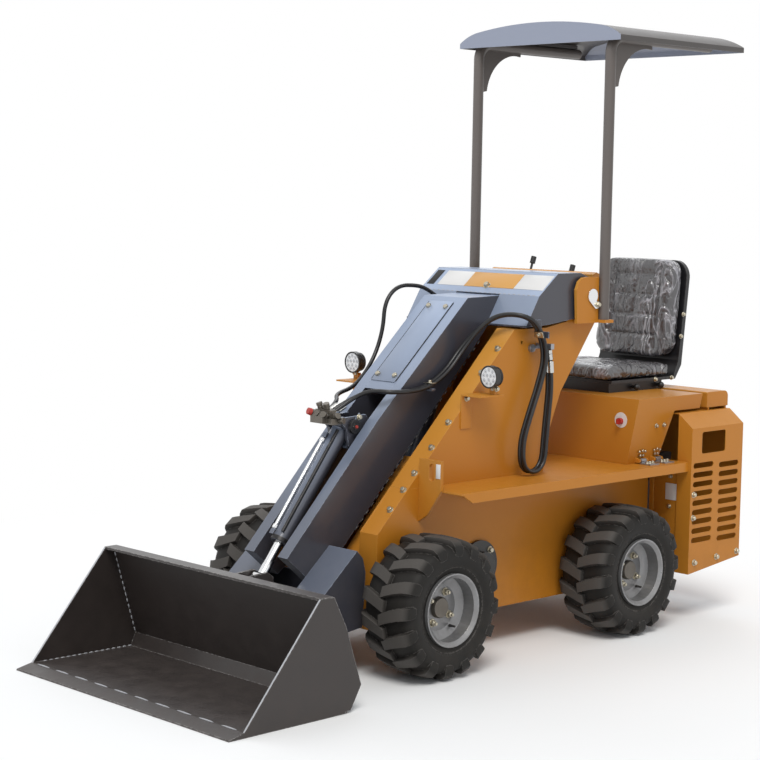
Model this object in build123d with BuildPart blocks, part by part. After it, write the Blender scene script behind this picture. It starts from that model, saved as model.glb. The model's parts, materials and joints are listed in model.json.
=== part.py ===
"""Compact ride-on skid steer loader: four equal wheels, a single boom on a tower, a bucket and a roof.

Millimetres, +Z up. The machine faces -Y and the operator's left hand is towards +X.
The origin lies on the ground in the middle of the whole machine's length and width.
Outlines seen from the side are written as (distance behind the front axle, height).
"""
import os
from math import cos, hypot, pi, radians, sin, tan

from build123d import *

os.makedirs("parts", exist_ok=True)

# Driving dimensions of the whole machine
overall_length = 2840.0
front_overhang = 1064.0
wheelbase = 1062.0
front_axle_y = -overall_length / 2 + front_overhang
rear_end = 1750.0

# Wheels
tyre_od = 508.0
tyre_width = 241.0
tyre_outer_x = 540.0
tyre_inner_x = tyre_outer_x - tyre_width
axle_z = tyre_od / 2
rim_flange_d = 262.0
rim_bead_d = 238.0
rim_wall = 4.0
disc_x = 449.0
disc_wall = 8.0
hub_bore_d = 62.0
running_play = 0.05
tread_bars = 16
tread_height = 20.0
rim_sides = 40

# Chassis tub and tower
plate = 8.0
sheet = 6.0
chassis_half = 285.0
chassis_front = -139.0
chassis_rear = 1403.0
ground_clearance = 154.0
deck_z = 652.0
nose_top_z = 503.0
tower_top_z = 1205.0
tower_back = 740.0
tower_slope_top = (520.0, 1163.0)
tower_shoulder = (562.0, tower_top_z)
tower_inner_x = 195.0
channel_floor_z = 390.0

# Boom pivot
pivot_y, pivot_z = 948.0, 1324.0
pivot_pin_d = 40.0
ear_inner_x = 325.0
ear_outer_x = 337.0
column_plate = 12.0

# Boom
arm_outer_x = 115.0
arm_inner_x = 65.0
head_half = 316.0
head_plate = 10.0
foot_outer_x = 260.0
foot_plate = 12.0

# Bucket and its hitch
bucket_half = 589.0
bucket_plate = 8.0
hitch_y, hitch_z = -430.0, 190.0
hitch_pin_d = 30.0
hitch_gap = 6.0

# Cylinders: pin places, then the closed tube's length and the bores
lift_base = (150.0, 300.0)
lift_head = (480.0, 1150.0)
lift_tube_d, lift_rod_d = 90.0, 50.0
lift_tube_length = 790.0
lift_pin_d = 30.0
tilt_pin_d = 26.0
tilt_base = (-44.5, 860.0)
tilt_head = (-438.0, 340.0)
tilt_tube_d, tilt_rod_d = 68.0, 35.0
tilt_tube_length = 505.0
rod_play = 0.6
tilt_line_d = 12.0
open_end_gap = 6.0

# Hoses
hose_d = 16.0
hose_pitch = 19.0
hose_end_z = 908.0

# Steps
step_half = 485.0
step_front = 77.0
right_step_front = 240.0
step_flange = 38.0

# Hood, cap and seat box
hood_half = 500.0
hood_shoulder_half = 430.0
hood_top_z = 843.0
hood_shoulder_z = 788.0
hood_front_bottom_z = 196.0
hood_rear_bottom_z = 234.0
skin = 4.0
cap_half = 420.0
cap_front = 1605.0
cap_top_z = 917.0
lid_gap = 11.0
seat_box_front = 1150.0
seat_box_back = 1565.0
seat_box_bottom_z = deck_z + 0.3
seat_box_top_z = 915.0
seat_box_foot_half = 372.0
seat_box_top_half = 425.0

# Canopy
post_x = 345.0
post_y = 1011.0
post_d = 42.0
post_bend_z = 2250.0
roof_half = 420.0
roof_front = 975.0
roof_rear = overall_length - front_overhang
roof_crown_z = 2389.0
roof_edge_z = 2322.0
roof_fascia_z = 2302.0
roof_skin = 4.0


def profile(outline, x_at, inset=0.0):
    """The flat shape of a side outline, on the plane x = x_at, made smaller all round by inset."""
    with BuildSketch(Plane.YZ.offset(x_at)) as shape:
        with BuildLine():
            Polyline(*[(y + front_axle_y, z) for y, z in outline], close=True)
        make_face()
        if inset:
            offset(amount=-inset, kind=Kind.INTERSECTION, mode=Mode.REPLACE)
    return shape.sketch


def slab(outline, x_from, x_to, inset=0.0, mode=Mode.ADD):
    """A side outline given thickness across the machine, from x_from to x_to."""
    extrude(profile(outline, x_from, inset), amount=x_to - x_from, mode=mode)


def front_slab(outline, y_from, y_to, mode=Mode.ADD):
    """A shape seen from the front, written as (x, height), given depth from y_from back to y_to."""
    with BuildSketch(Plane.XZ.offset(-(y_from + front_axle_y))) as shape:
        with BuildLine():
            Polyline(*outline, close=True)
        make_face()
    extrude(shape.sketch, amount=-(y_to - y_from), mode=mode)


def block(x_from, x_to, y_from, y_to, z_from, z_to, mode=Mode.ADD):
    """A square block between six faces."""
    slab([(y_from, z_from), (y_to, z_from), (y_to, z_to), (y_from, z_to)], x_from, x_to, mode=mode)


def round_bar(y, z, diameter, x_from, x_to, mode=Mode.ADD):
    """A round bar or bore across the machine at (y, z)."""
    with BuildSketch(Plane.YZ.offset(x_from)) as shape:
        with Locations((y + front_axle_y, z)):
            Circle(diameter / 2)
    extrude(shape.sketch, amount=x_to - x_from, mode=mode)


def strip(start, end, thickness, x_from, x_to, mode=Mode.ADD):
    """A flat bar seen edge on, from start to end, with its thickness below the line."""
    run, rise = end[0] - start[0], end[1] - start[1]
    length = hypot(run, rise)
    dy, dz = rise / length * thickness, -run / length * thickness
    slab([start, end, (end[0] + dy, end[1] + dz), (start[0] + dy, start[1] + dz)], x_from, x_to, mode=mode)


def along(start, end, distance):
    """The point that lies distance from start on the way to end."""
    length = hypot(end[0] - start[0], end[1] - start[1])
    share = distance / length
    return (start[0] + (end[0] - start[0]) * share, start[1] + (end[1] - start[1]) * share)


def cylinder_plane(base, head, distance):
    """The plane across a cylinder's axis, distance along it from its base pin."""
    y, z = along(base, head, distance)
    run, rise = head[0] - base[0], head[1] - base[1]
    return Plane(origin=(0, y + front_axle_y, z), x_dir=(1, 0, 0), z_dir=(0, run, rise))


def tube_along(base, head, start, end, diameter, mode=Mode.ADD):
    """A round bar on a cylinder's axis, between two distances from its base pin."""
    with BuildSketch(cylinder_plane(base, head, start)) as shape:
        Circle(diameter / 2)
    extrude(shape.sketch, amount=end - start, mode=mode)


def hose(points, name):
    """A hose along its route: straight runs, with an arc at each turn worked out from the shorter run beside it."""
    route = [Vector(x, y + front_axle_y, z) for x, y, z in points]
    runs = [b - a for a, b in zip(route, route[1:])]
    radii = []
    for before, after in zip(runs, runs[1:]):
        turn = before.get_angle(after)
        radii.append(0.45 * min(before.length, after.length) / tan(radians(turn / 2)))
    with BuildPart() as tube:
        with BuildLine() as path:
            FilletPolyline(*route, radius=radii)
        with BuildSketch(Plane(path.line @ 0, z_dir=path.line % 0)):
            Circle(hose_d / 2)
        sweep(path=path.line)
    print(name, "radii", [round(value) for value in radii])
    save(tube, name)


def save(builder, name):
    """Label one finished sub-part and write its file."""
    builder.part.label = name
    export_step(builder.part, f"parts/{name}.step")
    print(name, round(builder.part.volume / 1000), "cm3", len(builder.part.solids()), "solid")


# Chassis tub: side walls, floor, front wall and the two nose boxes beside the boom's channel
tub = [(chassis_front, ground_clearance), (chassis_front, nose_top_z),
       (chassis_front + deck_z - nose_top_z, deck_z), (chassis_rear, deck_z), (chassis_rear, ground_clearance)]
channel = [(chassis_front - 10, channel_floor_z), (chassis_front + 30, channel_floor_z),
           (chassis_front + 30 + deck_z + 10 - channel_floor_z, deck_z + 10), (chassis_front - 10, deck_z + 10)]
with BuildPart() as chassis_frame:
    slab(tub, -chassis_half, chassis_half)
    slab(tub, -chassis_half + plate, chassis_half - plate, inset=plate, mode=Mode.SUBTRACT)
    slab(channel, -tower_inner_x, tower_inner_x, mode=Mode.SUBTRACT)
    for side in (-1, 1):
        block(side * tower_inner_x, side * (tower_inner_x + sheet), chassis_front, 200, ground_clearance + 2, deck_z - 2)
    slab(channel, -tower_inner_x, tower_inner_x, mode=Mode.SUBTRACT)
    slab([(chassis_front - 1, nose_top_z), (chassis_front - 1, deck_z + 1), (chassis_front + deck_z - nose_top_z, deck_z + 1)],
         -chassis_half - 1, chassis_half + 1, mode=Mode.SUBTRACT)
    strip((chassis_front, channel_floor_z), (chassis_front + 30, channel_floor_z), sheet, -tower_inner_x, tower_inner_x)
    strip((chassis_front + 29, channel_floor_z - 1), (205, 734), sheet, -tower_inner_x, -70)
    strip((chassis_front + 29, channel_floor_z - 1), (205, 734), sheet, 70, tower_inner_x)
    block(-tower_inner_x, tower_inner_x, 205, 700, deck_z - plate - 1, deck_z + 20, mode=Mode.SUBTRACT)
    block(-250, 250, 1175, chassis_rear - 12, deck_z - plate - 1, deck_z + 1, mode=Mode.SUBTRACT)
    for side in (-1, 1):
        block(side * 58, side * 70, lift_base[0] - 45, lift_base[0] + 45, ground_clearance + 2, lift_base[1] + 35)
        block(side * 150, side * 190, chassis_rear - 20, rear_end - 40, hood_rear_bottom_z + 8, hood_rear_bottom_z + 48)
        for y in (0.0, wheelbase):
            round_bar(y, axle_z, 86.0, side * chassis_half, side * (disc_x - 2))
            round_bar(y, axle_z, hub_bore_d - 2 * running_play, side * chassis_half, side * (disc_x + disc_wall + 14))
    round_bar(*lift_base, lift_pin_d, -72, 72)
save(chassis_frame, "chassis_frame")

# Tower: a hollow box on each side of the boom, with a sloping bolted front
tower_outline = [(chassis_front + deck_z - nose_top_z, deck_z), tower_slope_top, tower_shoulder,
                 (tower_back, tower_top_z), (tower_back, deck_z)]
tower_sides = {}
for tag, side in (("left", 1), ("right", -1)):
    with BuildPart() as tower_side:
        slab(tower_outline, side * tower_inner_x, side * chassis_half)
        slab(tower_outline, side * (tower_inner_x + sheet), side * (chassis_half - sheet), inset=sheet, mode=Mode.SUBTRACT)
        round_bar(606, 1154, 14.0, side * (chassis_half - sheet - 1), side * (chassis_half + 1), mode=Mode.SUBTRACT)
    save(tower_side, f"tower_side_{tag}")
    tower_sides[tag] = tower_side

# Tower back: the two column plates with the inner pivot eyes, and the slanting wall between them
column = [(tower_back, deck_z), (tower_back, tower_top_z), (862, 1225), (888, 1262), (884, 1324), (900, 1366),
          (935, 1386), (975, 1383), (1004, 1356), (1012, 1310), (1037, 1222), (836, 954), (760, 775), (746, deck_z)]
with BuildPart() as tower_rear:
    for side in (-1, 1):
        slab(column, side * (chassis_half - column_plate), side * chassis_half)
    slab([(1035, 1220), (835, 953), (759, 775), (746, deck_z), (746 - sheet, deck_z), (753, 777), (829, 956), (1030, 1224)],
         -chassis_half + column_plate - 1, chassis_half - column_plate + 1)
    for side in (-1, 1):
        round_bar(pivot_y, pivot_z, pivot_pin_d, side * (chassis_half - column_plate - 1), side * (chassis_half + 1),
                  mode=Mode.SUBTRACT)
save(tower_rear, "tower_rear")

# Pivot ears: the outer plates with the boom's pins, each on a shelf that also carries a roof post
ear_rear = post_y - post_d / 2 - 1
shelf_top_z = 1231.0
ear = [(862, shelf_top_z), (854, 1349), (868, 1380), (890, 1395), (916, 1398), (ear_rear, 1396), (ear_rear, shelf_top_z)]
shelf_half = post_x + post_d / 2 + 6
for tag, side in (("left", 1), ("right", -1)):
    with BuildPart() as pivot_ear:
        slab(ear, side * ear_inner_x, side * ear_outer_x)
        block(side * chassis_half, side * ear_outer_x, 902, ear_rear, shelf_top_z - 12, shelf_top_z)
        block(side * (ear_inner_x - 1), side * ear_outer_x, 862, 903, shelf_top_z - 12, shelf_top_z)
        block(side * chassis_half, side * shelf_half, ear_rear - 1, 1040, shelf_top_z - 12, shelf_top_z)
        round_bar(pivot_y, pivot_z, pivot_pin_d, side * (ear_inner_x - 1), side * (ear_outer_x + 1), mode=Mode.SUBTRACT)
    save(pivot_ear, f"pivot_ear_{tag}")
    with BuildPart() as pivot_pin:
        round_bar(pivot_y, pivot_z, pivot_pin_d - 2 * running_play, side * (chassis_half - 16), side * (ear_outer_x + 1))
        round_bar(pivot_y, pivot_z, 56.0, side * ear_outer_x, side * (ear_outer_x + 7))
        slab([(pivot_y - 22, pivot_z - 18), (pivot_y + 20, pivot_z - 20), (pivot_y + 42, pivot_z - 28), (pivot_y + 40, pivot_z - 48),
              (pivot_y + 16, pivot_z - 50)], side * ear_outer_x, side * (ear_outer_x + 7))
    save(pivot_pin, f"pivot_pin_{tag}")

# Steps beside the tub: a folded outer flange, gussets below, and on the left a tie-down plate with an oval hole
step_rear = chassis_rear
for tag, side, front in (("left", 1, step_front), ("right", -1, right_step_front)):
    with BuildPart() as step:
        block(side * chassis_half, side * step_half, front, step_rear, deck_z - sheet, deck_z)
        slab([(front, deck_z), (step_rear, deck_z), (step_rear, deck_z - step_flange), (front + 60, deck_z - step_flange)],
             side * (step_half - sheet), side * step_half)
        for y in (330.0, 900.0, 1380.0):
            front_slab([(side * chassis_half, deck_z - 2), (side * (step_half - 4), deck_z - 2),
                        (side * (step_half - 4), deck_z - 30), (side * chassis_half, deck_z - 70)], y, y + sheet)
        if tag == "left":
            front_slab([(chassis_half, 530), (330, 560), (395, deck_z), (395, deck_z + 108), (chassis_half, deck_z + 108)],
                       front - 12, front + 0.5)
            with BuildSketch(Plane.XZ.offset(-(front - 13 + front_axle_y))) as oval:
                with Locations((348, deck_z + 62)):
                    SlotOverall(64.0, 26.0, rotation=90)
            extrude(oval.sketch, amount=-14, mode=Mode.SUBTRACT)
    save(step, f"step_{tag}")

# Hood: a folded skin round the engine, open in front and below, with slots and a window in each side
hood_side = [(chassis_rear, hood_front_bottom_z), (rear_end, hood_rear_bottom_z), (rear_end, hood_top_z),
             (chassis_rear, hood_top_z)]
hood_front_view = [(-hood_half, 150), (-hood_half, hood_shoulder_z), (-hood_shoulder_half, hood_top_z),
                   (hood_shoulder_half, hood_top_z), (hood_half, hood_shoulder_z), (hood_half, 150)]
hood_inner_view = [(-hood_half + skin, 100), (-hood_half + skin, hood_shoulder_z - 2), (-hood_shoulder_half + 2, hood_top_z - skin),
                   (hood_shoulder_half - 2, hood_top_z - skin), (hood_half - skin, hood_shoulder_z - 2), (hood_half - skin, 100)]
slot_rows, slot_columns = 9, 2
with BuildPart() as rear_hood:
    front_slab(hood_front_view, chassis_rear, rear_end)
    front_slab(hood_inner_view, chassis_rear + skin, rear_end - skin, mode=Mode.SUBTRACT)
    slab([(chassis_rear - 1, 100), (rear_end + 1, 100), (rear_end + 1, hood_rear_bottom_z), (chassis_rear - 1, hood_front_bottom_z)],
         -hood_half - 1, hood_half + 1, mode=Mode.SUBTRACT)
    block(-hood_shoulder_half, hood_shoulder_half, chassis_rear - 1, chassis_rear + skin + 1, 100, hood_top_z - 1, mode=Mode.SUBTRACT)
    block(-cap_half + 30, cap_half - 30, chassis_rear - 1, rear_end - 30, hood_top_z - skin - 1, hood_top_z + 1, mode=Mode.SUBTRACT)
    for side in (-1, 1):
        with BuildSketch(Plane.YZ.offset(side * hood_half - side * 20)) as slots:
            with Locations((1550 + front_axle_y, 726)):
                RectangleRounded(160, 88, 10)
            for column_index in range(slot_columns):
                for row in range(slot_rows):
                    with Locations((1484 + 173 * column_index + front_axle_y, 636 - 38 * row - 9 * column_index)):
                        Polygon((-68, 0), (-64, -8), (-57, -11), (57, -11), (64, -8), (68, 0), (64, 8), (57, 11), (-57, 11), (-64, 8))
        extrude(slots.sketch, amount=side * 30, mode=Mode.SUBTRACT)
save(rear_hood, "rear_hood")

# Rear cap: the low lid behind the seat
with BuildPart() as rear_cap:
    block(-cap_half, cap_half, cap_front, rear_end - 2, hood_top_z + lid_gap, cap_top_z)
    fillet(rear_cap.edges().filter_by(Axis.X).group_by(Axis.Z)[-1].sort_by(Axis.Y)[-1], 24)
    fillet(rear_cap.edges().filter_by(Axis.X).group_by(Axis.Z)[-1].sort_by(Axis.Y)[0], 6)
    offset(amount=-skin, openings=rear_cap.faces().sort_by(Axis.Z)[0])
    for y_from, y_to in ((cap_front + 10, cap_front + 16), (rear_end - 18, rear_end - 12)):
        block(-cap_half + 1, cap_half - 1, y_from, y_to, hood_top_z, hood_top_z + lid_gap + 12)
save(rear_cap, "rear_cap")

# Engine: a plain block with its fan cowl, carried on the rails behind the tub
with BuildPart() as engine:
    block(-190, 190, 1430, 1680, hood_rear_bottom_z + 48, 640)
    block(-120, 120, 1460, 1650, 640, 780)
    with BuildSketch(Plane.YZ.offset(190)) as cowl:
        with Locations((1555 + front_axle_y, 450)):
            Circle(140)
    extrude(cowl.sketch, amount=60)
    with BuildSketch(Plane.YZ.offset(-190)) as muffler:
        with Locations((1555 + front_axle_y, 480)):
            Circle(80)
    extrude(muffler.sketch, amount=-90)
save(engine, "engine")

# Round motor covers on the tub's walls behind the front wheels
for tag, side in (("left", 1), ("right", -1)):
    with BuildPart() as motor_cover:
        round_bar(385, 330, 190.0, side * chassis_half, side * (chassis_half + 12))
        round_bar(385, 330, 110.0, side * (chassis_half + 12), side * (chassis_half + 40))
    save(motor_cover, f"motor_cover_{tag}")

# Work lamps on folded brackets at the tower's sides
lamp_y, lamp_z, lamp_x, lamp_d = 361.0, 1044.0, 363.0, 84.0
for tag, side in (("left", 1), ("right", -1)):
    with BuildPart() as lamp_bracket:
        block(side * chassis_half, side * (chassis_half + 5), 275, 330, 850, 978)
        block(side * chassis_half, side * 385, 275, 400, 972, 978)
        block(side * 350, side * 376, lamp_y - 2, lamp_y + 14, 978, 1002)
    save(lamp_bracket, f"lamp_bracket_{tag}")
    with BuildPart() as lamp:
        with BuildSketch(Plane.XZ.offset(-(lamp_y - 24 + front_axle_y))) as lens:
            with Locations((side * lamp_x, lamp_z)):
                Circle(lamp_d / 2)
        extrude(lens.sketch, amount=-22)
        with BuildSketch(Plane.XZ.offset(-(lamp_y - 2 + front_axle_y))) as housing:
            with Locations((side * lamp_x, lamp_z)):
                Circle(lamp_d / 2 - 9)
        extrude(housing.sketch, amount=-20)
        with BuildSketch(Plane.XZ.offset(-(lamp_y - 24 + front_axle_y))) as recess:
            with Locations((side * lamp_x, lamp_z)):
                Circle(lamp_d / 2 - 5)
        extrude(recess.sketch, amount=-3, mode=Mode.SUBTRACT)
    save(lamp, f"lamp_{tag}")

# Canopy posts, bent back under the roof, with a gusset in each bend
post_bend_r = 60.0
post_arm_z = 2318.0
post_arm_end = 1640.0
for tag, side in (("left", 1), ("right", -1)):
    with BuildPart() as canopy_post:
        with BuildLine() as post_path:
            FilletPolyline((side * post_x, post_y + front_axle_y, shelf_top_z), (side * post_x, post_y + front_axle_y, post_arm_z),
                           (side * post_x, post_arm_end + front_axle_y, post_arm_z), radius=post_bend_r)
        with BuildSketch(Plane(post_path.line @ 0, z_dir=post_path.line % 0)):
            Circle(post_d / 2)
        sweep(path=post_path.line)
        with BuildSketch(Plane.YZ.offset(side * post_x - 4)) as gusset_shape:
            with BuildLine():
                back = post_y + front_axle_y + post_d / 2 - 2
                under = post_arm_z - post_d / 2 + 2
                foot = under - 172
                Polyline((back, foot), (back, under), (back + 232, under), (back + 232, under - 16))
                ThreePointArc((back + 232, under - 16), (back + 76, under - 68), (back + 28, foot + 5))
                Line((back + 28, foot + 5), (back, foot))
            make_face()
        extrude(gusset_shape.sketch, amount=8)
    save(canopy_post, f"canopy_post_{tag}")

# Roof: a thin arched skin with round shoulders, a deep front fascia and a rounded rear end, on rails over the posts
roof_side = [(roof_front, roof_fascia_z), (roof_front, roof_crown_z + 5), (roof_rear - 120, roof_crown_z + 5),
             (roof_rear - 52, roof_crown_z - 14), (roof_rear - 14, roof_crown_z - 46), (roof_rear, roof_fascia_z + 24),
             (roof_rear, roof_fascia_z)]


def arch_bar(drop, y_from, y_to):
    """A solid bar with the roof's arched section, its skin lowered by drop."""
    rise = roof_crown_z - roof_edge_z
    with BuildSketch(Plane.XZ.offset(-(y_from + front_axle_y))) as section:
        with BuildLine():
            left, right = (-roof_half * 0.78, roof_edge_z + rise * 0.6 - drop), (roof_half * 0.78, roof_edge_z + rise * 0.6 - drop)
            ThreePointArc((-roof_half, roof_edge_z - drop), (-roof_half * 0.9, roof_edge_z + rise * 0.36 - drop), left)
            ThreePointArc(left, (0, roof_crown_z - drop), right)
            ThreePointArc(right, (roof_half * 0.9, roof_edge_z + rise * 0.36 - drop), (roof_half, roof_edge_z - drop))
            Polyline((roof_half, roof_edge_z - drop), (roof_half, roof_fascia_z - drop), (-roof_half, roof_fascia_z - drop),
                     (-roof_half, roof_edge_z - drop))
        make_face()
    extrude(section.sketch, amount=-(y_to - y_from))


with BuildPart() as roof_space:
    arch_bar(roof_skin, roof_front + roof_skin, roof_rear - roof_skin)
    slab([(roof_front - 9, roof_fascia_z - 9), (roof_front - 9, roof_crown_z), (roof_rear - 123, roof_crown_z),
          (roof_rear - 56, roof_crown_z - 18), (roof_rear - 18, roof_crown_z - 49), (roof_rear - 4, roof_fascia_z + 24),
          (roof_rear - 4, roof_fascia_z - 9)], -roof_half - 1, roof_half + 1, mode=Mode.INTERSECT)
with BuildPart() as canopy_roof:
    arch_bar(0, roof_front, roof_rear)
    slab(roof_side, -roof_half - 1, roof_half + 1, mode=Mode.INTERSECT)
    add(roof_space.part, mode=Mode.SUBTRACT)
    for side in (-1, 1):
        slab([(roof_front + 1, roof_fascia_z), (roof_rear - 2, roof_fascia_z), (roof_rear - 2, roof_fascia_z + 18),
              (roof_front + 1, roof_edge_z - 1)], side * (roof_half - roof_skin), side * roof_half)
        block(side * (post_x - 12), side * (post_x + 12), post_y + 90, post_arm_end - 20, post_arm_z + post_d / 2, roof_edge_z + 32)
save(canopy_roof, "canopy_roof")

# Console behind the boom, with the control levers
console_half = chassis_half - column_plate - 0.2
console_outline = [(1036, 1224.6), (1033, 1226), (1030, 1402), (1050, 1411), (1120, 1386), (1120, 1366), (1072, 1348),
                   (1064, 1224.6)]
with BuildPart() as console:
    slab(console_outline, -console_half, console_half)
    slab(console_outline, -console_half + skin, console_half - skin, inset=skin, mode=Mode.SUBTRACT)
save(console, "console")
lever_plane = Plane(origin=(0, 1085 + front_axle_y, 1411 - (1085 - 1050) * 25 / 70), x_dir=(1, 0, 0), z_dir=(0, 25, 70))
with BuildPart() as levers:
    with BuildSketch(lever_plane) as pod:
        Rectangle(300, 36)
    extrude(pod.sketch, amount=6)
    for x, reach in ((-104.0, 58.0), (112.0, 30.0)):
        with BuildSketch(lever_plane) as stem:
            with Locations((x, 0)):
                Circle(5)
        extrude(stem.sketch, amount=reach)
        with BuildSketch(lever_plane.offset(reach - 22)) as grip:
            with Locations((x, 0)):
                Circle(11)
        extrude(grip.sketch, amount=28)
save(levers, "control_levers")

# Hinges of the seat box: a leaf bolted to the left step and the barrel its pin turns in
hinge_x, hinge_z = seat_box_foot_half + 20, deck_z + 12.0
hinge_pin_d = 8.0
hinge_places = (("front", seat_box_front + 45), ("rear", seat_box_front + 140))
for tag, y in hinge_places:
    with BuildPart() as seat_hinge:
        block(hinge_x + 8.9, hinge_x + 62, y, y + 60, deck_z, deck_z + 5)
        with BuildSketch(Plane.XZ.offset(-(y + 15 + front_axle_y))) as knuckle:
            with Locations((hinge_x, hinge_z)):
                Circle(9)
            with Locations((hinge_x, hinge_z - 5)):
                Rectangle(18, 12)
            with Locations((hinge_x, hinge_z)):
                Circle(hinge_pin_d / 2, mode=Mode.SUBTRACT)
        extrude(knuckle.sketch, amount=-30)
    save(seat_hinge, f"seat_hinge_{tag}")

# Seat box: a tilting lid with leaning sides, open below, on two hinges at its left foot
seat_box_outline = [(seat_box_front, seat_box_bottom_z), (seat_box_front, seat_box_top_z), (seat_box_back, seat_box_top_z),
                    (seat_box_back, hood_top_z + lid_gap), (1396, hood_top_z + lid_gap), (1352, 684), (1345, seat_box_bottom_z)]
lean = (seat_box_top_half - seat_box_foot_half) / (seat_box_top_z - seat_box_bottom_z)
seat_box_view = [(-seat_box_foot_half, seat_box_bottom_z), (-seat_box_top_half, seat_box_top_z),
                 (seat_box_top_half, seat_box_top_z), (seat_box_foot_half, seat_box_bottom_z)]
seat_inner_view = [(-seat_box_foot_half + skin + lean, seat_box_bottom_z - 1), (-seat_box_top_half + skin, seat_box_top_z - skin),
                   (seat_box_top_half - skin, seat_box_top_z - skin), (seat_box_foot_half - skin - lean, seat_box_bottom_z - 1)]
with BuildPart() as seat_box:
    front_slab(seat_box_view, seat_box_front, seat_box_back)
    front_slab(seat_inner_view, seat_box_front + skin, seat_box_back - skin, mode=Mode.SUBTRACT)
    slab([(1345, seat_box_bottom_z - 5), (1352, 684), (1396, hood_top_z + lid_gap), (seat_box_back + 5, hood_top_z + lid_gap),
          (seat_box_back + 5, seat_box_bottom_z - 5)], -seat_box_top_half - 5, seat_box_top_half + 5, mode=Mode.SUBTRACT)
    for tag, y in hinge_places:
        for y_leaf in (y + 3, y + 49):
            front_slab([(seat_box_foot_half - 3, hinge_z - 8), (hinge_x + 4, hinge_z - 8), (hinge_x + 8, hinge_z - 2),
                        (hinge_x + 6, hinge_z + 6), (seat_box_foot_half, hinge_z + 12)], y_leaf, y_leaf + 8)
        with BuildSketch(Plane.XZ.offset(-(y + 3 + front_axle_y))) as hinge_pin:
            with Locations((hinge_x, hinge_z)):
                Circle(hinge_pin_d / 2 - running_play)
        extrude(hinge_pin.sketch, amount=-54)
save(seat_box, "seat_box")
with BuildPart() as key_switch:
    with BuildSketch(Plane.XZ.offset(-(seat_box_front + front_axle_y))) as knob:
        with Locations((seat_box_foot_half - 36, seat_box_top_z - 93)):
            Circle(13)
    extrude(knob.sketch, amount=16)
    with BuildSketch(Plane.XZ.offset(-(seat_box_front - 15 + front_axle_y))) as key:
        with Locations((seat_box_foot_half - 36, seat_box_top_z - 93)):
            Rectangle(5, 20)
    extrude(key.sketch, amount=14)
save(key_switch, "key_switch")
with BuildPart() as seat_base:
    block(-190, 190, 1250, cap_front - 8, seat_box_top_z, seat_box_top_z + 38)
save(seat_base, "seat_base")


def rounded_front(width, z_from, z_to, radius):
    """Keep only what lies within a rounded rectangle seen from the front."""
    with BuildSketch(Plane.XZ.offset(-(900 + front_axle_y))) as view:
        with Locations((0, (z_from + z_to) / 2)):
            RectangleRounded(width, z_to - z_from, radius)
    extrude(view.sketch, amount=-1000, mode=Mode.INTERSECT)


shell_z = seat_box_top_z + 38
with BuildPart() as seat_shell:
    slab([(1240, shell_z), (1660, shell_z), (1700, shell_z + 57), (1748, shell_z + 491), (1728, shell_z + 493), (1680, shell_z + 77),
          (1650, shell_z + 12), (1240, shell_z + 12)], -212, 212)
    rounded_front(424, shell_z - 80, shell_z + 493, 75)
save(seat_shell, "seat_shell")
with BuildPart() as seat_cushion:
    slab([(1215, shell_z + 12.2), (1208, shell_z + 30), (1222, shell_z + 62), (1262, shell_z + 80), (1600, shell_z + 69),
          (1636, shell_z + 62), (1636, shell_z + 12.2)], -212, 212)
save(seat_cushion, "seat_cushion")
with BuildPart() as seat_back:
    slab([(1605, shell_z + 87), (1628, shell_z + 280), (1662, shell_z + 500), (1690, shell_z + 505), (1724, shell_z + 493),
          (1680, shell_z + 82)], -205, 205)
    rounded_front(410, shell_z + 82, shell_z + 505, 70)
save(seat_back, "seat_back")

# Boom arms: two hollow box beams that run from the pivot to the foot
arm = [(-413, 426), (20, 885), (483, 1317), (665, 1322), (772, 1407), (900, 1407), (960, 1386), (1000, 1352), (1008, 1310),
       (990, 1276), (948, 1262), (850, 1234), (600, 1210), (-136, 443), (-298, 329)]
for tag, side in (("left", 1), ("right", -1)):
    with BuildPart() as boom_arm:
        slab(arm, side * arm_inner_x, side * arm_outer_x)
        slab(arm, side * (arm_inner_x + sheet), side * (arm_outer_x - sheet), inset=sheet, mode=Mode.SUBTRACT)
        round_bar(pivot_y, pivot_z, 71.0, side * (arm_inner_x - 1), side * (arm_outer_x + 1), mode=Mode.SUBTRACT)
        if tag == "left":
            block(arm_outer_x - 1, 160, 250, 270, 980, 988)
    save(boom_arm, f"boom_arm_{tag}")

# Boom head: the wide top of the boom, its side plates and the cross tube on the pivot
head_side = [(662, 1328), (769, 1413), (900, 1413), (965, 1392), (1005, 1350), (1010, 1310), (992, 1276), (950, 1260), (895, 1240),
             (710, 1218), (590, 1213)]
with BuildPart() as boom_head:
    for side in (-1, 1):
        slab(head_side, side * (head_half - head_plate), side * head_half)
        strip((662, 1328), (590, 1213), -sheet, side * arm_outer_x, side * head_half)
        slab([(590, 1213), (710, 1218), (850, 1234.7), (850, 1240.7), (710, 1224), (590, 1219)],
             side * arm_outer_x, side * head_half)
        slab([(600, 1216), (850, 1238), (900, 1256), (985, 1290), (990, 1350), (900, 1408), (769, 1408), (664, 1324)],
             side * 200, side * 208)
        round_bar(pivot_y, pivot_z, pivot_pin_d, side * (head_half - head_plate - 1), side * (head_half + 1), mode=Mode.SUBTRACT)
    strip((662, 1328), (769, 1413), sheet, -head_half, head_half)
    strip((768, 1413), (900, 1413), sheet, -head_half, head_half)
    round_bar(pivot_y, pivot_z, 70.0, -chassis_half + 18, chassis_half - 18)
    round_bar(pivot_y, pivot_z, 46.0, -chassis_half + 17, chassis_half - 17, mode=Mode.SUBTRACT)
    block(head_half - 1, head_half + 5, 640, 674, 1176, 1240)
    block(head_half, 362, 667, 673, 1172, 1196)
save(boom_head, "boom_head")

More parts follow.
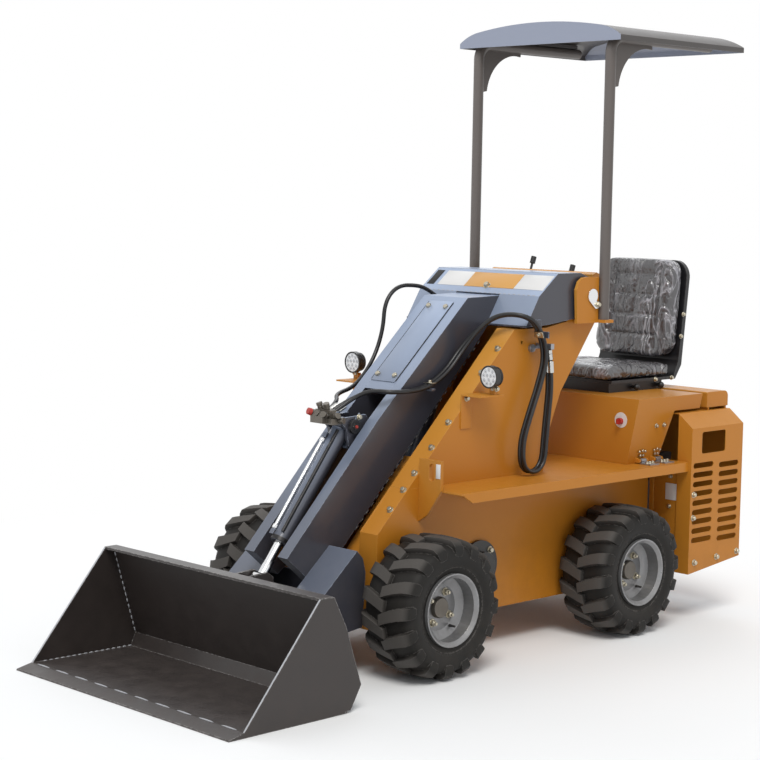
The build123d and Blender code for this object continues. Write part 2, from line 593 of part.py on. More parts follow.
# Cover plate between the arms
with BuildPart() as boom_cover:
    strip((483, 1317), (124, 982), -sheet, -arm_inner_x, arm_inner_x)
    slab([(483, 1317), (665, 1322), (665, 1316), (483, 1309)], -arm_inner_x, arm_inner_x)
save(boom_cover, "boom_cover")

# Bracket that holds the tilt cylinder's upper pin, on a cross plate between the arms
with BuildPart() as tilt_bracket:
    strip((36, 868), (-52, 775), sheet, -arm_inner_x, arm_inner_x)
    for side in (-1, 1):
        slab([(36, 868), (20, 900), (-30, 896), (-60, 895), (-100, 893), (-100, 872), (-76, 850), (-66, 790), (-52, 775)],
             side * 40, side * 52)
    round_bar(*tilt_base, tilt_pin_d, -54, 54)
    round_bar(*tilt_base, 44.0, 52, 58)
    slab([(-40, 882), (-18, 908), (-8, 896), (-24, 866)], 52, 58)
save(tilt_bracket, "tilt_bracket")

# Hydraulic coupler block ahead of the bracket
with BuildPart() as coupler_block:
    block(-52, 52, -150, -100, 872, 893)
    block(-48, 30, -140, -110, 893, 922)
    block(-40, 24, -172, -150, 876, 912)
    with BuildSketch(Plane.XZ.offset(-(-111 + front_axle_y))) as ferrules:
        with Locations((-30, hose_end_z), (-30 + hose_pitch, hose_end_z), (-50, hose_end_z)):
            Circle(7)
    extrude(ferrules.sketch, amount=-24)
save(coupler_block, "coupler_block")

# Hoses: a pair up the left arm and on in a hanging loop to the tower, and one up the right side to the head
boom_route = [(-30, -81.5, hose_end_z), (-10, -10, 950), (50, 40, 985), (140, 78, 982), (132, 225, 985), (130, 346, 1041),
              (132, 425, 1125), (180, 475, 1207), (245, 525, 1262), (334, 575, 1258), (330, 640, 1208), (330, 660, 1160)]
beside = (hose_pitch, 0, 0)
boom_shift = [beside, (16, -12, 0), (12, -16, 4), (18, -14, 4), beside, beside, beside, (17, -10, 6), (10, -17, 4),
              (17, -13, 4), beside, beside]
loop_route = [(330, 660.4, 1159), (330, 682, 1107), (330, 650, 1005), (330, 590, 875), (330, 556, 790), (330, 556, 704),
              (330, 592, 668), (330, 644, 668), (330, 680, 704), (330, 686, 785), (330, 698, 890), (330, 708, 985),
              (330, 700, 1070), (330, 690, 1127)]
right_route = [(-50, -81.5, hose_end_z), (-66, -12, 938), (-145, 48, 955), (-165, 170, 975), (-195, 290, 1065), (-200, 345, 1180),
               (-200, 352, 1290), (-200, 420, 1352), (-200, 530, 1350), (-200, 590, 1332), (-200, 642, 1302)]
hose(boom_route, "boom_hose_inner")
hose([(x + dx, y + dy, z + dz) for (x, y, z), (dx, dy, dz) in zip(boom_route, boom_shift)], "boom_hose_outer")
hose(loop_route, "loop_hose_inner")
hose([(x + hose_pitch, y, z) for x, y, z in loop_route], "loop_hose_outer")
hose(right_route, "boom_hose_right")
with BuildPart() as loop_fitting:
    block(chassis_half, 362, 684, 702, 1129, 1150)
    round_bar(655, 1131, 30.0, chassis_half, chassis_half + 12)
    block(chassis_half, chassis_half + 10, 655, 685, 1129, 1140)
save(loop_fitting, "loop_fitting")

# Boom foot: the wide box at the arms' lower end that carries the hitch
foot = [(-212, 451), (-383, 300), (-455, 222), (-462, 190), (-452, 164), (-430, 154), (-300, 160), (-182, 174), (-170, 370),
        (-184, 422)]
with BuildPart() as boom_foot:
    for side in (-1, 1):
        slab(foot, side * (foot_outer_x - foot_plate), side * foot_outer_x)
        strip((-212, 451), (-383, 300), -sheet, side * arm_outer_x, side * foot_outer_x)
        round_bar(hitch_y, hitch_z, hitch_pin_d, side * (foot_outer_x - foot_plate - 1), side * (foot_outer_x + 1), mode=Mode.SUBTRACT)
    block(-foot_outer_x + 1, foot_outer_x - 1, -300, -190, 180, 188)
    block(-foot_outer_x + 1, foot_outer_x - 1, -196, -188, 180, 330)
save(boom_foot, "boom_foot")

# Lift cylinder: base pin in the tub, rod pin between the arms
lift_length = hypot(lift_head[0] - lift_base[0], lift_head[1] - lift_base[1])
with BuildPart() as lift_barrel:
    tube_along(lift_base, lift_head, 30, lift_tube_length, lift_tube_d)
    tube_along(lift_base, lift_head, 60, lift_tube_length + 1, lift_rod_d + 2 * rod_play, mode=Mode.SUBTRACT)
    round_bar(*lift_base, 70.0, -40, 40)
    round_bar(*lift_base, lift_pin_d + 2 * running_play, -41, 41, mode=Mode.SUBTRACT)
save(lift_barrel, "lift_barrel")
with BuildPart() as lift_rod:
    tube_along(lift_base, lift_head, 90, lift_length - 20, lift_rod_d)
    round_bar(*lift_head, 64.0, -34, 34)
    round_bar(*lift_head, lift_pin_d, -arm_inner_x + open_end_gap, arm_inner_x - open_end_gap)
save(lift_rod, "lift_rod")

# Tilt cylinder: upper pin on the boom, rod pin on the hitch
tilt_length = hypot(tilt_head[0] - tilt_base[0], tilt_head[1] - tilt_base[1])
with BuildPart() as tilt_barrel:
    tube_along(tilt_base, tilt_head, 25, tilt_tube_length, tilt_tube_d)
    tube_along(tilt_base, tilt_head, 50, tilt_tube_length + 1, tilt_rod_d + 2 * rod_play, mode=Mode.SUBTRACT)
    round_bar(*tilt_base, 58.0, -30, 30)
    round_bar(*tilt_base, tilt_pin_d + 2 * running_play, -31, 31, mode=Mode.SUBTRACT)
    with BuildSketch(cylinder_plane(tilt_base, tilt_head, 60)) as hard_line:
        with Locations((-22, 36)):
            Circle(tilt_line_d / 2)
    extrude(hard_line.sketch, amount=tilt_tube_length - 75)
    for distance in (60, tilt_tube_length - 35):
        with BuildSketch(cylinder_plane(tilt_base, tilt_head, distance)) as port:
            with Locations((-18, 30)):
                Rectangle(20, 24)
        extrude(port.sketch, amount=20)
save(tilt_barrel, "tilt_barrel")
with BuildPart() as tilt_rod:
    tube_along(tilt_base, tilt_head, 140, tilt_length - 18, tilt_rod_d)
    round_bar(*tilt_head, 50.0, -24, 24)
save(tilt_rod, "tilt_rod")

# Bucket: side plates, floor with a wear lip, leaning back plate and a folded top rim
lip_y = -front_overhang
back_foot, back_head = (-546.0, 62.0), (-645.0, 385.0)
back_length = hypot(back_head[0] - back_foot[0], back_head[1] - back_foot[1])
back_normal = ((back_head[1] - back_foot[1]) / back_length, (back_foot[0] - back_head[0]) / back_length)


def behind_back(distance, depth):
    """A point at a distance up the bucket's back plate and a depth behind its inner face."""
    y, z = along(back_foot, back_head, distance)
    return (y + back_normal[0] * depth, z + back_normal[1] * depth)


bucket_side = [(-1005, 12), (-683, 398), (-624, 397), (-569, 291), (-498, 87), (-544, 8), (-654, 2), (-954, 3)]
with BuildPart() as bucket_shell:
    for side in (-1, 1):
        slab(bucket_side, side * (bucket_half - bucket_plate), side * bucket_half)
    slab([(lip_y, 0), (lip_y + 2, 5), (-1000, 18), (-568, 14), (-568, 2), (-654, 0)], -bucket_half, bucket_half)
    slab([(-568, 14), back_foot, behind_back(0, bucket_plate), (-558, 2), (-568, 2)], -bucket_half + 1, bucket_half - 1)
    slab([back_foot, back_head, behind_back(back_length, bucket_plate), behind_back(0, bucket_plate)],
         -bucket_half + 1, bucket_half - 1)
    slab([(-645, 384), (-683, 391), (-683, 400), (-630, 400), (-632, 384)], -bucket_half + 1, bucket_half - 1)
save(bucket_shell, "bucket_shell")

# Hitch frame on the bucket's back: side ears outside the foot, a cross plate and the tilt rod's lugs
hitch_ear_x = foot_outer_x + hitch_gap
hitch_plate = 12.0
hitch_low, hitch_high = 36.0, 306.0
plate_back = bucket_plate + hitch_plate - 1
with BuildPart() as hitch_frame:
    slab([behind_back(hitch_low, bucket_plate), behind_back(hitch_high, bucket_plate),
          behind_back(hitch_high, bucket_plate + hitch_plate), behind_back(hitch_low, bucket_plate + hitch_plate)],
         -hitch_ear_x - 14, hitch_ear_x + 14)
    for side in (-1, 1):
        slab([behind_back(hitch_low, plate_back), behind_back(hitch_high - 30, plate_back), (-560, 320), (-412, 218), (-400, 200),
              (-400, 176), (-416, 158), (-520, 96)], side * hitch_ear_x, side * (hitch_ear_x + 14))
        round_bar(hitch_y, hitch_z, hitch_pin_d - 2 * running_play, side * (foot_outer_x - foot_plate - 6), side * (hitch_ear_x + 20))
        slab([behind_back(hitch_high - 110, plate_back), behind_back(hitch_high - 2, plate_back), (-438, 370), (-412, 352),
              (-410, 330), (-440, 308)], side * 30, side * 42)
save(hitch_frame, "hitch_frame")

# Wheels: a tyre with bars fused to both shoulders, on a deep dished rim, drawn with flat facets to stay light
tyre_r = tyre_od / 2
tyre_mid_x = (tyre_outer_x + tyre_inner_x) / 2
tyre_sides = 2 * tread_bars
bead_set = 22.0
bead_r = rim_bead_d / 2
crown_r = tyre_r - tread_height


def faceted_ring(outline, sides):
    """A closed ring of flat facets: an (x, radius) outline carried round the front left axle."""
    corners = [[Vector(x, front_axle_y + radius * sin(2 * pi * step / sides), axle_z + radius * cos(2 * pi * step / sides))
                for step in range(sides)] for x, radius in outline]
    facets = []
    for near, far in zip(corners, corners[1:] + corners[:1]):
        for step in range(sides):
            after = (step + 1) % sides
            facets.append(Face(Wire.make_polygon([near[step], near[after], far[after], far[step]])))
    return Solid(Shell(facets))


def tread_bar(turn, hand):
    """One slanting bar of the tread, set on the flat tangent to the crown after a turn of so many degrees."""
    lean = 26.0
    tangent = Plane(origin=(tyre_mid_x, front_axle_y, axle_z), x_dir=(1, 0, 0), z_dir=(0, 0, 1)).rotated((turn, 0, 0))
    with BuildSketch(tangent.offset(crown_r - 26)) as foot_print:
        with BuildLine():
            Polyline((hand * -6, -lean - 12), (hand * 62, -4 - 14), (hand * 114, 8 - 14), (hand * 114, 8 + 15),
                     (hand * 62, -4 + 14), (hand * -6, -lean + 10), close=True)
        make_face()
    extrude(foot_print.sketch, amount=tread_height + 24.6)


with BuildPart() as tyre_pattern:
    add(faceted_ring([(tyre_mid_x + x, radius) for x, radius in (
        (-94.0, bead_r), (-118.5, 190.0), (-96.0, crown_r - 6), (96.0, crown_r - 6), (118.5, 190.0), (94.0, bead_r))],
        tyre_sides))
    for bar in range(tread_bars):
        tread_bar(bar * 360 / tread_bars, 1)
        tread_bar((bar + 0.5) * 360 / tread_bars, -1)

seat_r = bead_r * cos(pi / tyre_sides) - 0.2
flange_r = rim_flange_d / 2
well_r = seat_r - rim_wall
inner_edge = tyre_inner_x + bead_set - 0.3
outer_edge = tyre_outer_x - bead_set + 0.3
disc_face = disc_x + disc_wall
with BuildPart() as rim_pattern:
    add(faceted_ring([(inner_edge, seat_r), (outer_edge, seat_r), (outer_edge, flange_r), (outer_edge + 14, flange_r),
                      (outer_edge + 14, flange_r - 5), (outer_edge + 4, well_r), (disc_face + 14, well_r), (disc_face + 7, 98),
                      (disc_face, 84), (disc_face, 40), (disc_x, 40), (disc_x, well_r), (inner_edge - 4, well_r),
                      (inner_edge - 14, flange_r - 5), (inner_edge - 14, flange_r), (inner_edge, flange_r)], rim_sides))
    round_bar(0, axle_z, 82.0, disc_x, disc_face)
    round_bar(0, axle_z, hub_bore_d, disc_x - 1, disc_face + 1, mode=Mode.SUBTRACT)

for tag, side, y in (("front_left", 1, 0.0), ("front_right", -1, 0.0), ("rear_left", 1, wheelbase), ("rear_right", -1, wheelbase)):
    for kind, pattern in (("tyre", tyre_pattern), ("rim", rim_pattern)):
        with BuildPart() as wheel_piece:
            placed = pattern.part.moved(Location((0, y, 0)))
            add(placed if side > 0 else mirror(placed, about=Plane.YZ))
        save(wheel_piece, f"{kind}_{tag}")
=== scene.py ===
# %% [markdown]
# # A compact ride-on loader
# The machine is a box chassis on four lugged tyres, with one lift boom, a bucket, a tower,
# a seat box, an engine hood and an arched roof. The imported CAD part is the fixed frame, in metres.
# This lesson gives it paint, rubber, vinyl, hoses, bolts and welds.

# %% Load the frame
import json
import math

import bmesh
import bpy
from mathutils import Matrix, Vector


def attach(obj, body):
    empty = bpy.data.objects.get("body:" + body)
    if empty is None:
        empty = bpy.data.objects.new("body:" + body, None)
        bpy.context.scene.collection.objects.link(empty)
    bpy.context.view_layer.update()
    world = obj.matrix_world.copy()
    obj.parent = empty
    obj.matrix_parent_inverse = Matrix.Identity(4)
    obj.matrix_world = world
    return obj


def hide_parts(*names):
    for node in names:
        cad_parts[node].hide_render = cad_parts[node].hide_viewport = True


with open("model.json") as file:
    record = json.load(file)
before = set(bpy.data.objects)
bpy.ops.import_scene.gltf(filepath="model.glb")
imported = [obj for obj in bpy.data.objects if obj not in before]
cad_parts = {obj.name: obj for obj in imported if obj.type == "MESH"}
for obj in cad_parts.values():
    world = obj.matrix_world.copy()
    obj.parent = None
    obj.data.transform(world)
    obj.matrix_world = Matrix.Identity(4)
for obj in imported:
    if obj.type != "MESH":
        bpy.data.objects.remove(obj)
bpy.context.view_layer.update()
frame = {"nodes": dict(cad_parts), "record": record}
print("CAD nodes:", len(frame["nodes"]))

# %% [markdown]
# Distances along the machine are measured from the front axle and given in millimetres,
# because that is how a maker reads the machine's side view. One function turns them into
# the frame's metres.

# %% Places on the machine
FRONT_AXLE_Y = -0.356
scene = bpy.context.scene


def at(x, y, z):
    """A point from millimetres: x to the machine's left, y behind the front axle, z up."""
    return Vector((x / 1000, y / 1000 + FRONT_AXLE_Y, z / 1000))


def new_object(name, data):
    made = bpy.data.objects.new(name, data)
    scene.collection.objects.link(made)
    return made


def new_mesh(name, bm):
    mesh = bpy.data.meshes.new(name)
    bm.to_mesh(mesh)
    bm.free()
    return mesh


print("front axle:", tuple(round(v, 3) for v in at(0, 0, 254)))

# %% [markdown]
# ## Camera
# The photograph was taken from the front left at a standing person's height. Its place, turn and
# focal length were solved from the wheels' circles and the straight edges, so the camera is placed
# by its own axes and not by aiming at a target.

# %% Camera
CAMERA_PLACE = Vector((5.00907, -5.09741, 1.69697))
YAW, PITCH, ROLL = 0.7984352, 0.0972244, 0.0168809
FOCAL_PIXELS, IMAGE_SIDE = 1891.818, 760


def aim_camera():
    right = Vector((math.cos(YAW), math.sin(YAW), 0))
    forward = Vector((-math.sin(YAW) * math.cos(PITCH), math.cos(YAW) * math.cos(PITCH), -math.sin(PITCH)))
    up = right.cross(forward)
    image_right = math.cos(ROLL) * right + math.sin(ROLL) * up
    image_up = -math.sin(ROLL) * right + math.cos(ROLL) * up
    turn = Matrix((image_right, image_up, -forward)).transposed()
    return Matrix.Translation(CAMERA_PLACE) @ turn.to_4x4()


camera_data = bpy.data.cameras.new("camera")
camera_data.sensor_width = 36
camera_data.lens = 36 * FOCAL_PIXELS / IMAGE_SIDE
camera = new_object("camera", camera_data)
camera.matrix_world = aim_camera()
scene.camera = camera
scene.view_settings.view_transform = "Standard"
print("lens:", round(camera_data.lens, 1), "mm")

# %% [markdown]
# ## Shader helpers
# Short functions add, set and join shader nodes, for the world, the finishes and the floor.

# %% Node helpers
def add_node(tree, kind, **settings):
    node = tree.nodes.new(kind)
    for key, value in settings.items():
        setattr(node, key, value)
    return node


def set_inputs(node, **values):
    for key, value in values.items():
        node.inputs[key.replace("_", " ")].default_value = value


def feed(tree, socket, value):
    """Write a plain value into a socket, or link another node's output to it."""
    if isinstance(value, (int, float, tuple)):
        socket.default_value = value
    else:
        tree.links.new(value, socket)


def new_group(name, inputs, outputs):
    tree = bpy.data.node_groups.new(name, "ShaderNodeTree")
    kinds = {"F": "NodeSocketFloat", "C": "NodeSocketColor", "V": "NodeSocketVector"}
    for in_out, sockets in (("INPUT", inputs), ("OUTPUT", outputs)):
        for label, kind in sockets:
            tree.interface.new_socket(name=label, in_out=in_out, socket_type=kinds[kind])
    return tree, tree.nodes.new("NodeGroupInput"), tree.nodes.new("NodeGroupOutput")


def math_node(tree, operation, first, second=None, clamp=False):
    node = add_node(tree, "ShaderNodeMath", operation=operation, use_clamp=clamp)
    feed(tree, node.inputs[0], first)
    if second is not None:
        feed(tree, node.inputs[1], second)
    return node.outputs[0]


def mix_colour(tree, factor, first, second):
    node = add_node(tree, "ShaderNodeMix", data_type="RGBA")
    for place, value in ((0, factor), (6, first), (7, second)):
        feed(tree, node.inputs[place], value)
    return node.outputs[2]


def noise_node(tree, vector, scale, detail=3.0, roughness=0.5, distortion=0.0):
    node = add_node(tree, "ShaderNodeTexNoise")
    set_inputs(node, Detail=detail, Roughness=roughness, Distortion=distortion)
    feed(tree, node.inputs["Scale"], scale)
    feed(tree, node.inputs["Vector"], vector)
    return node.outputs["Fac"]


def remap(tree, value, low, high, to_low=0.0, to_high=1.0):
    node = add_node(tree, "ShaderNodeMapRange")
    tree.links.new(value, node.inputs["Value"])
    for label, number in (("From Min", low), ("From Max", high), ("To Min", to_low), ("To Max", to_high)):
        node.inputs[label].default_value = number
    return node.outputs["Result"]


def bump_node(tree, strength, height, distance):
    node = add_node(tree, "ShaderNodeBump")
    for label, value in (("Strength", strength), ("Height", height), ("Distance", distance)):
        feed(tree, node.inputs[label], value)
    return node


def seen_directly(tree):
    """1 for rays that end in the picture by sight, by gloss or through glass, and 0 for lighting rays."""
    rays = add_node(tree, "ShaderNodeLightPath").outputs
    seen = math_node(tree, "MAXIMUM", rays["Is Camera Ray"], rays["Is Glossy Ray"])
    return math_node(tree, "MAXIMUM", seen, rays["Is Transmission Ray"])


def join_shaders(tree, share, first, second, end):
    mixed = add_node(tree, "ShaderNodeMixShader")
    for socket, source in zip(mixed.inputs, (share, first.outputs[0], second.outputs[0])):
        tree.links.new(source, socket)
    tree.links.new(mixed.outputs[0], end.inputs["Surface"])


print("node helpers ready")

# %% [markdown]
# ## Light and floor
# A soft studio: a pale world fills the shadows, one large soft sun from the front left models the
# forms, and a weaker one from behind picks out the roof and the seat. What the camera sees of the
# world is plain white. The floor, made last, is pale and matt, so it keeps a quiet shadow, and
# fades to white further out.

# %% World and lamps
world = bpy.data.worlds.new("studio")
scene.world = world
world.use_nodes = True
sky = world.node_tree
sky.nodes.clear()
fill_light = add_node(sky, "ShaderNodeBackground")
set_inputs(fill_light, Color=(0.93, 0.96, 1.0, 1), Strength=0.62)
seen_white = add_node(sky, "ShaderNodeBackground")
set_inputs(seen_white, Color=(1, 1, 1, 1), Strength=1.0)
join_shaders(sky, seen_directly(sky), fill_light, seen_white, add_node(sky, "ShaderNodeOutputWorld"))


def add_sun(name, direction, strength, angle, colour):
    lamp = bpy.data.lights.new(name, "SUN")
    lamp.energy = strength
    lamp.angle = math.radians(angle)
    lamp.color = colour
    holder = new_object(name, lamp)
    holder.rotation_euler = Vector(direction).to_track_quat("Z", "Y").to_euler()


add_sun("key_sun", (0.50, -0.45, 0.95), 1.75, 24, (1.0, 0.985, 0.95))
add_sun("back_sun", (-0.6, 0.7, 0.9), 0.45, 30, (0.92, 0.96, 1.0))
print("lamps:", 2)

# %% [markdown]
# ## Paint, rubber and steel
# Nearly every finish on a machine is one base colour plus the same few effects: a slow drift of
# tone, dust that gathers low down, edges worn bright, a painted sheen (a pale reflection of the sky
# painted on faces that look up or forwards, stronger higher up), and a fine surface texture. The
# effects are node groups, made once, and every material gives them its own values.

# %% Weathering group: tone drift, low dust, worn edges and a painted sheen
weather_and_sheen, win, wout = new_group(
    "weathering_and_painted_sheen",
    [("Color", "C"), ("Dust Color", "C"), ("Dust", "F"), ("Dust Top", "F"), ("Drift", "F"),
     ("Wear Color", "C"), ("Wear", "F"), ("Roughness", "F"), ("Sky Color", "C"), ("Sky Up", "F"),
     ("Sky Front", "F")],
    [("Color", "C"), ("Roughness", "F")])
place = add_node(weather_and_sheen, "ShaderNodeTexCoord").outputs["Object"]
split = add_node(weather_and_sheen, "ShaderNodeSeparateXYZ")
weather_and_sheen.links.new(place, split.inputs[0])
slow = noise_node(weather_and_sheen, place, 2.3, 3)
patchy = noise_node(weather_and_sheen, place, 14.0, 5, 0.65)
fine = noise_node(weather_and_sheen, place, 90.0, 4, 0.7)


def weigh(operation, first, second, clamp=False):
    return math_node(weather_and_sheen, operation, first, second, clamp=clamp)


tone = weigh("MULTIPLY", weigh("SUBTRACT", slow, 0.5), win.outputs["Drift"])
tone_scale = weigh("ADD", weigh("MULTIPLY", tone, 2.0), 1.0)
toned = add_node(weather_and_sheen, "ShaderNodeVectorMath", operation="SCALE")
weather_and_sheen.links.new(win.outputs["Color"], toned.inputs[0])
weather_and_sheen.links.new(tone_scale, toned.inputs["Scale"])
low = weigh("SUBTRACT", 1.0, weigh("DIVIDE", split.outputs["Z"], win.outputs["Dust Top"]), clamp=True)
facing = add_node(weather_and_sheen, "ShaderNodeNewGeometry").outputs["Normal"]
facing_split = add_node(weather_and_sheen, "ShaderNodeSeparateXYZ")
weather_and_sheen.links.new(facing, facing_split.inputs[0])
looks_up = weigh("MAXIMUM", facing_split.outputs["Z"], 0.0)
looks_forwards = weigh("MAXIMUM", weigh("MULTIPLY", facing_split.outputs["Y"], -1.0), 0.0)
dusty = weigh("ADD", low, weigh("MULTIPLY", looks_up, 0.25))
dusty = weigh("MULTIPLY", dusty, remap(weather_and_sheen, patchy, 0.35, 0.72))
dusty = weigh("MULTIPLY", dusty, win.outputs["Dust"], clamp=True)
dusted = mix_colour(weather_and_sheen, dusty, toned.outputs[0], win.outputs["Dust Color"])
soft_edge = add_node(weather_and_sheen, "ShaderNodeBevel", samples=4)
soft_edge.inputs["Radius"].default_value = 0.004
edge_dot = add_node(weather_and_sheen, "ShaderNodeVectorMath", operation="DOT_PRODUCT")
weather_and_sheen.links.new(soft_edge.outputs[0], edge_dot.inputs[0])
weather_and_sheen.links.new(facing, edge_dot.inputs[1])
edge = remap(weather_and_sheen, edge_dot.outputs["Value"], 0.995, 0.93)
edge = weigh("MULTIPLY", edge, remap(weather_and_sheen, fine, 0.42, 0.6))
edge = weigh("MULTIPLY", edge, win.outputs["Wear"], clamp=True)
worn = mix_colour(weather_and_sheen, edge, dusted, win.outputs["Wear Color"])
# Painted sheen: faces that look up or forwards are tinted towards a pale sky colour as a painted reflection,
# and the tint grows higher up.
painted_sheen = weigh("ADD", weigh("MULTIPLY", looks_up, win.outputs["Sky Up"]),
              weigh("MULTIPLY", looks_forwards, win.outputs["Sky Front"]))
painted_sheen = weigh("MULTIPLY", painted_sheen, remap(weather_and_sheen, slow, 0.25, 0.7, 0.75, 1.1))
painted_sheen_height = remap(weather_and_sheen, split.outputs["Z"], 0.55, 1.25, 0.30, 1.20)
painted_sheen = weigh("MULTIPLY", painted_sheen, painted_sheen_height, clamp=True)
weather_and_sheen.links.new(mix_colour(weather_and_sheen, painted_sheen, worn, win.outputs["Sky Color"]), wout.inputs["Color"])
rough = weigh("ADD", win.outputs["Roughness"], weigh("MULTIPLY", dusty, 0.35))
rough = weigh("ADD", rough, weigh("MULTIPLY", weigh("SUBTRACT", patchy, 0.5), 0.12))
weather_and_sheen.links.new(rough, wout.inputs["Roughness"])
print("group:", weather_and_sheen.name, len(weather_and_sheen.nodes), "nodes")

# %% Skin group: fine bump with rounded sheet edges
skin_group, skin_in, skin_out = new_group(
    "surface_skin", [("Scale", "F"), ("Strength", "F"), ("Edge Radius", "F")], [("Normal", "V")])
skin_place = add_node(skin_group, "ShaderNodeTexCoord").outputs["Object"]
grain = noise_node(skin_group, skin_place, skin_in.outputs["Scale"], 3.0, 0.6)
round_edge = add_node(skin_group, "ShaderNodeBevel", samples=4)
skin_group.links.new(skin_in.outputs["Edge Radius"], round_edge.inputs["Radius"])
skin_bump = bump_node(skin_group, skin_in.outputs["Strength"], grain, 0.001)
skin_group.links.new(round_edge.outputs[0], skin_bump.inputs["Normal"])
skin_group.links.new(skin_bump.outputs[0], skin_out.inputs["Normal"])
print("group:", skin_group.name)

# %% [markdown]
# One function then writes each finish. The numbers are the recipe: colour, gloss, how much dust and
# wear, how much painted sheen, and how rough the skin is. Paint has a thin clear coat, bare steel has none.

# %% Finish recipes
TONE_DRIFT, EDGE_ROUNDING, COAT_ROUGHNESS = 0.06, 0.002, 0.12


def make_finish(name, colour, roughness, metallic=0.0, coat=0.0, dust=0.2, dust_top=0.9, wear=0.25,
                wear_colour=(0.28, 0.26, 0.24), dust_colour=(0.32, 0.26, 0.19), scale=350.0, strength=0.05,
                painted_sheen_colour=(0.5, 0.6, 0.75), painted_sheen_up=0.0, painted_sheen_front=0.0, gloss=0.5):
    material = bpy.data.materials.new(name)
    material.use_nodes = True
    tree = material.node_tree
    shader = tree.nodes["Principled BSDF"]
    effect = add_node(tree, "ShaderNodeGroup", node_tree=weather_and_sheen)
    set_inputs(effect, Color=(*colour, 1), Dust_Color=(*dust_colour, 1), Dust=dust, Dust_Top=dust_top,
               Drift=TONE_DRIFT, Wear=wear, Wear_Color=(*wear_colour, 1), Roughness=roughness,
               Sky_Color=(*painted_sheen_colour, 1), Sky_Up=painted_sheen_up, Sky_Front=painted_sheen_front)
    surface = add_node(tree, "ShaderNodeGroup", node_tree=skin_group)
    set_inputs(surface, Scale=scale, Strength=strength, Edge_Radius=EDGE_ROUNDING)
    tree.links.new(effect.outputs["Color"], shader.inputs["Base Color"])
    tree.links.new(effect.outputs["Roughness"], shader.inputs["Roughness"])
    tree.links.new(surface.outputs["Normal"], shader.inputs["Normal"])
    set_inputs(shader, Metallic=metallic, Specular_IOR_Level=gloss, Coat_Weight=coat,
               Coat_Roughness=COAT_ROUGHNESS)
    return material


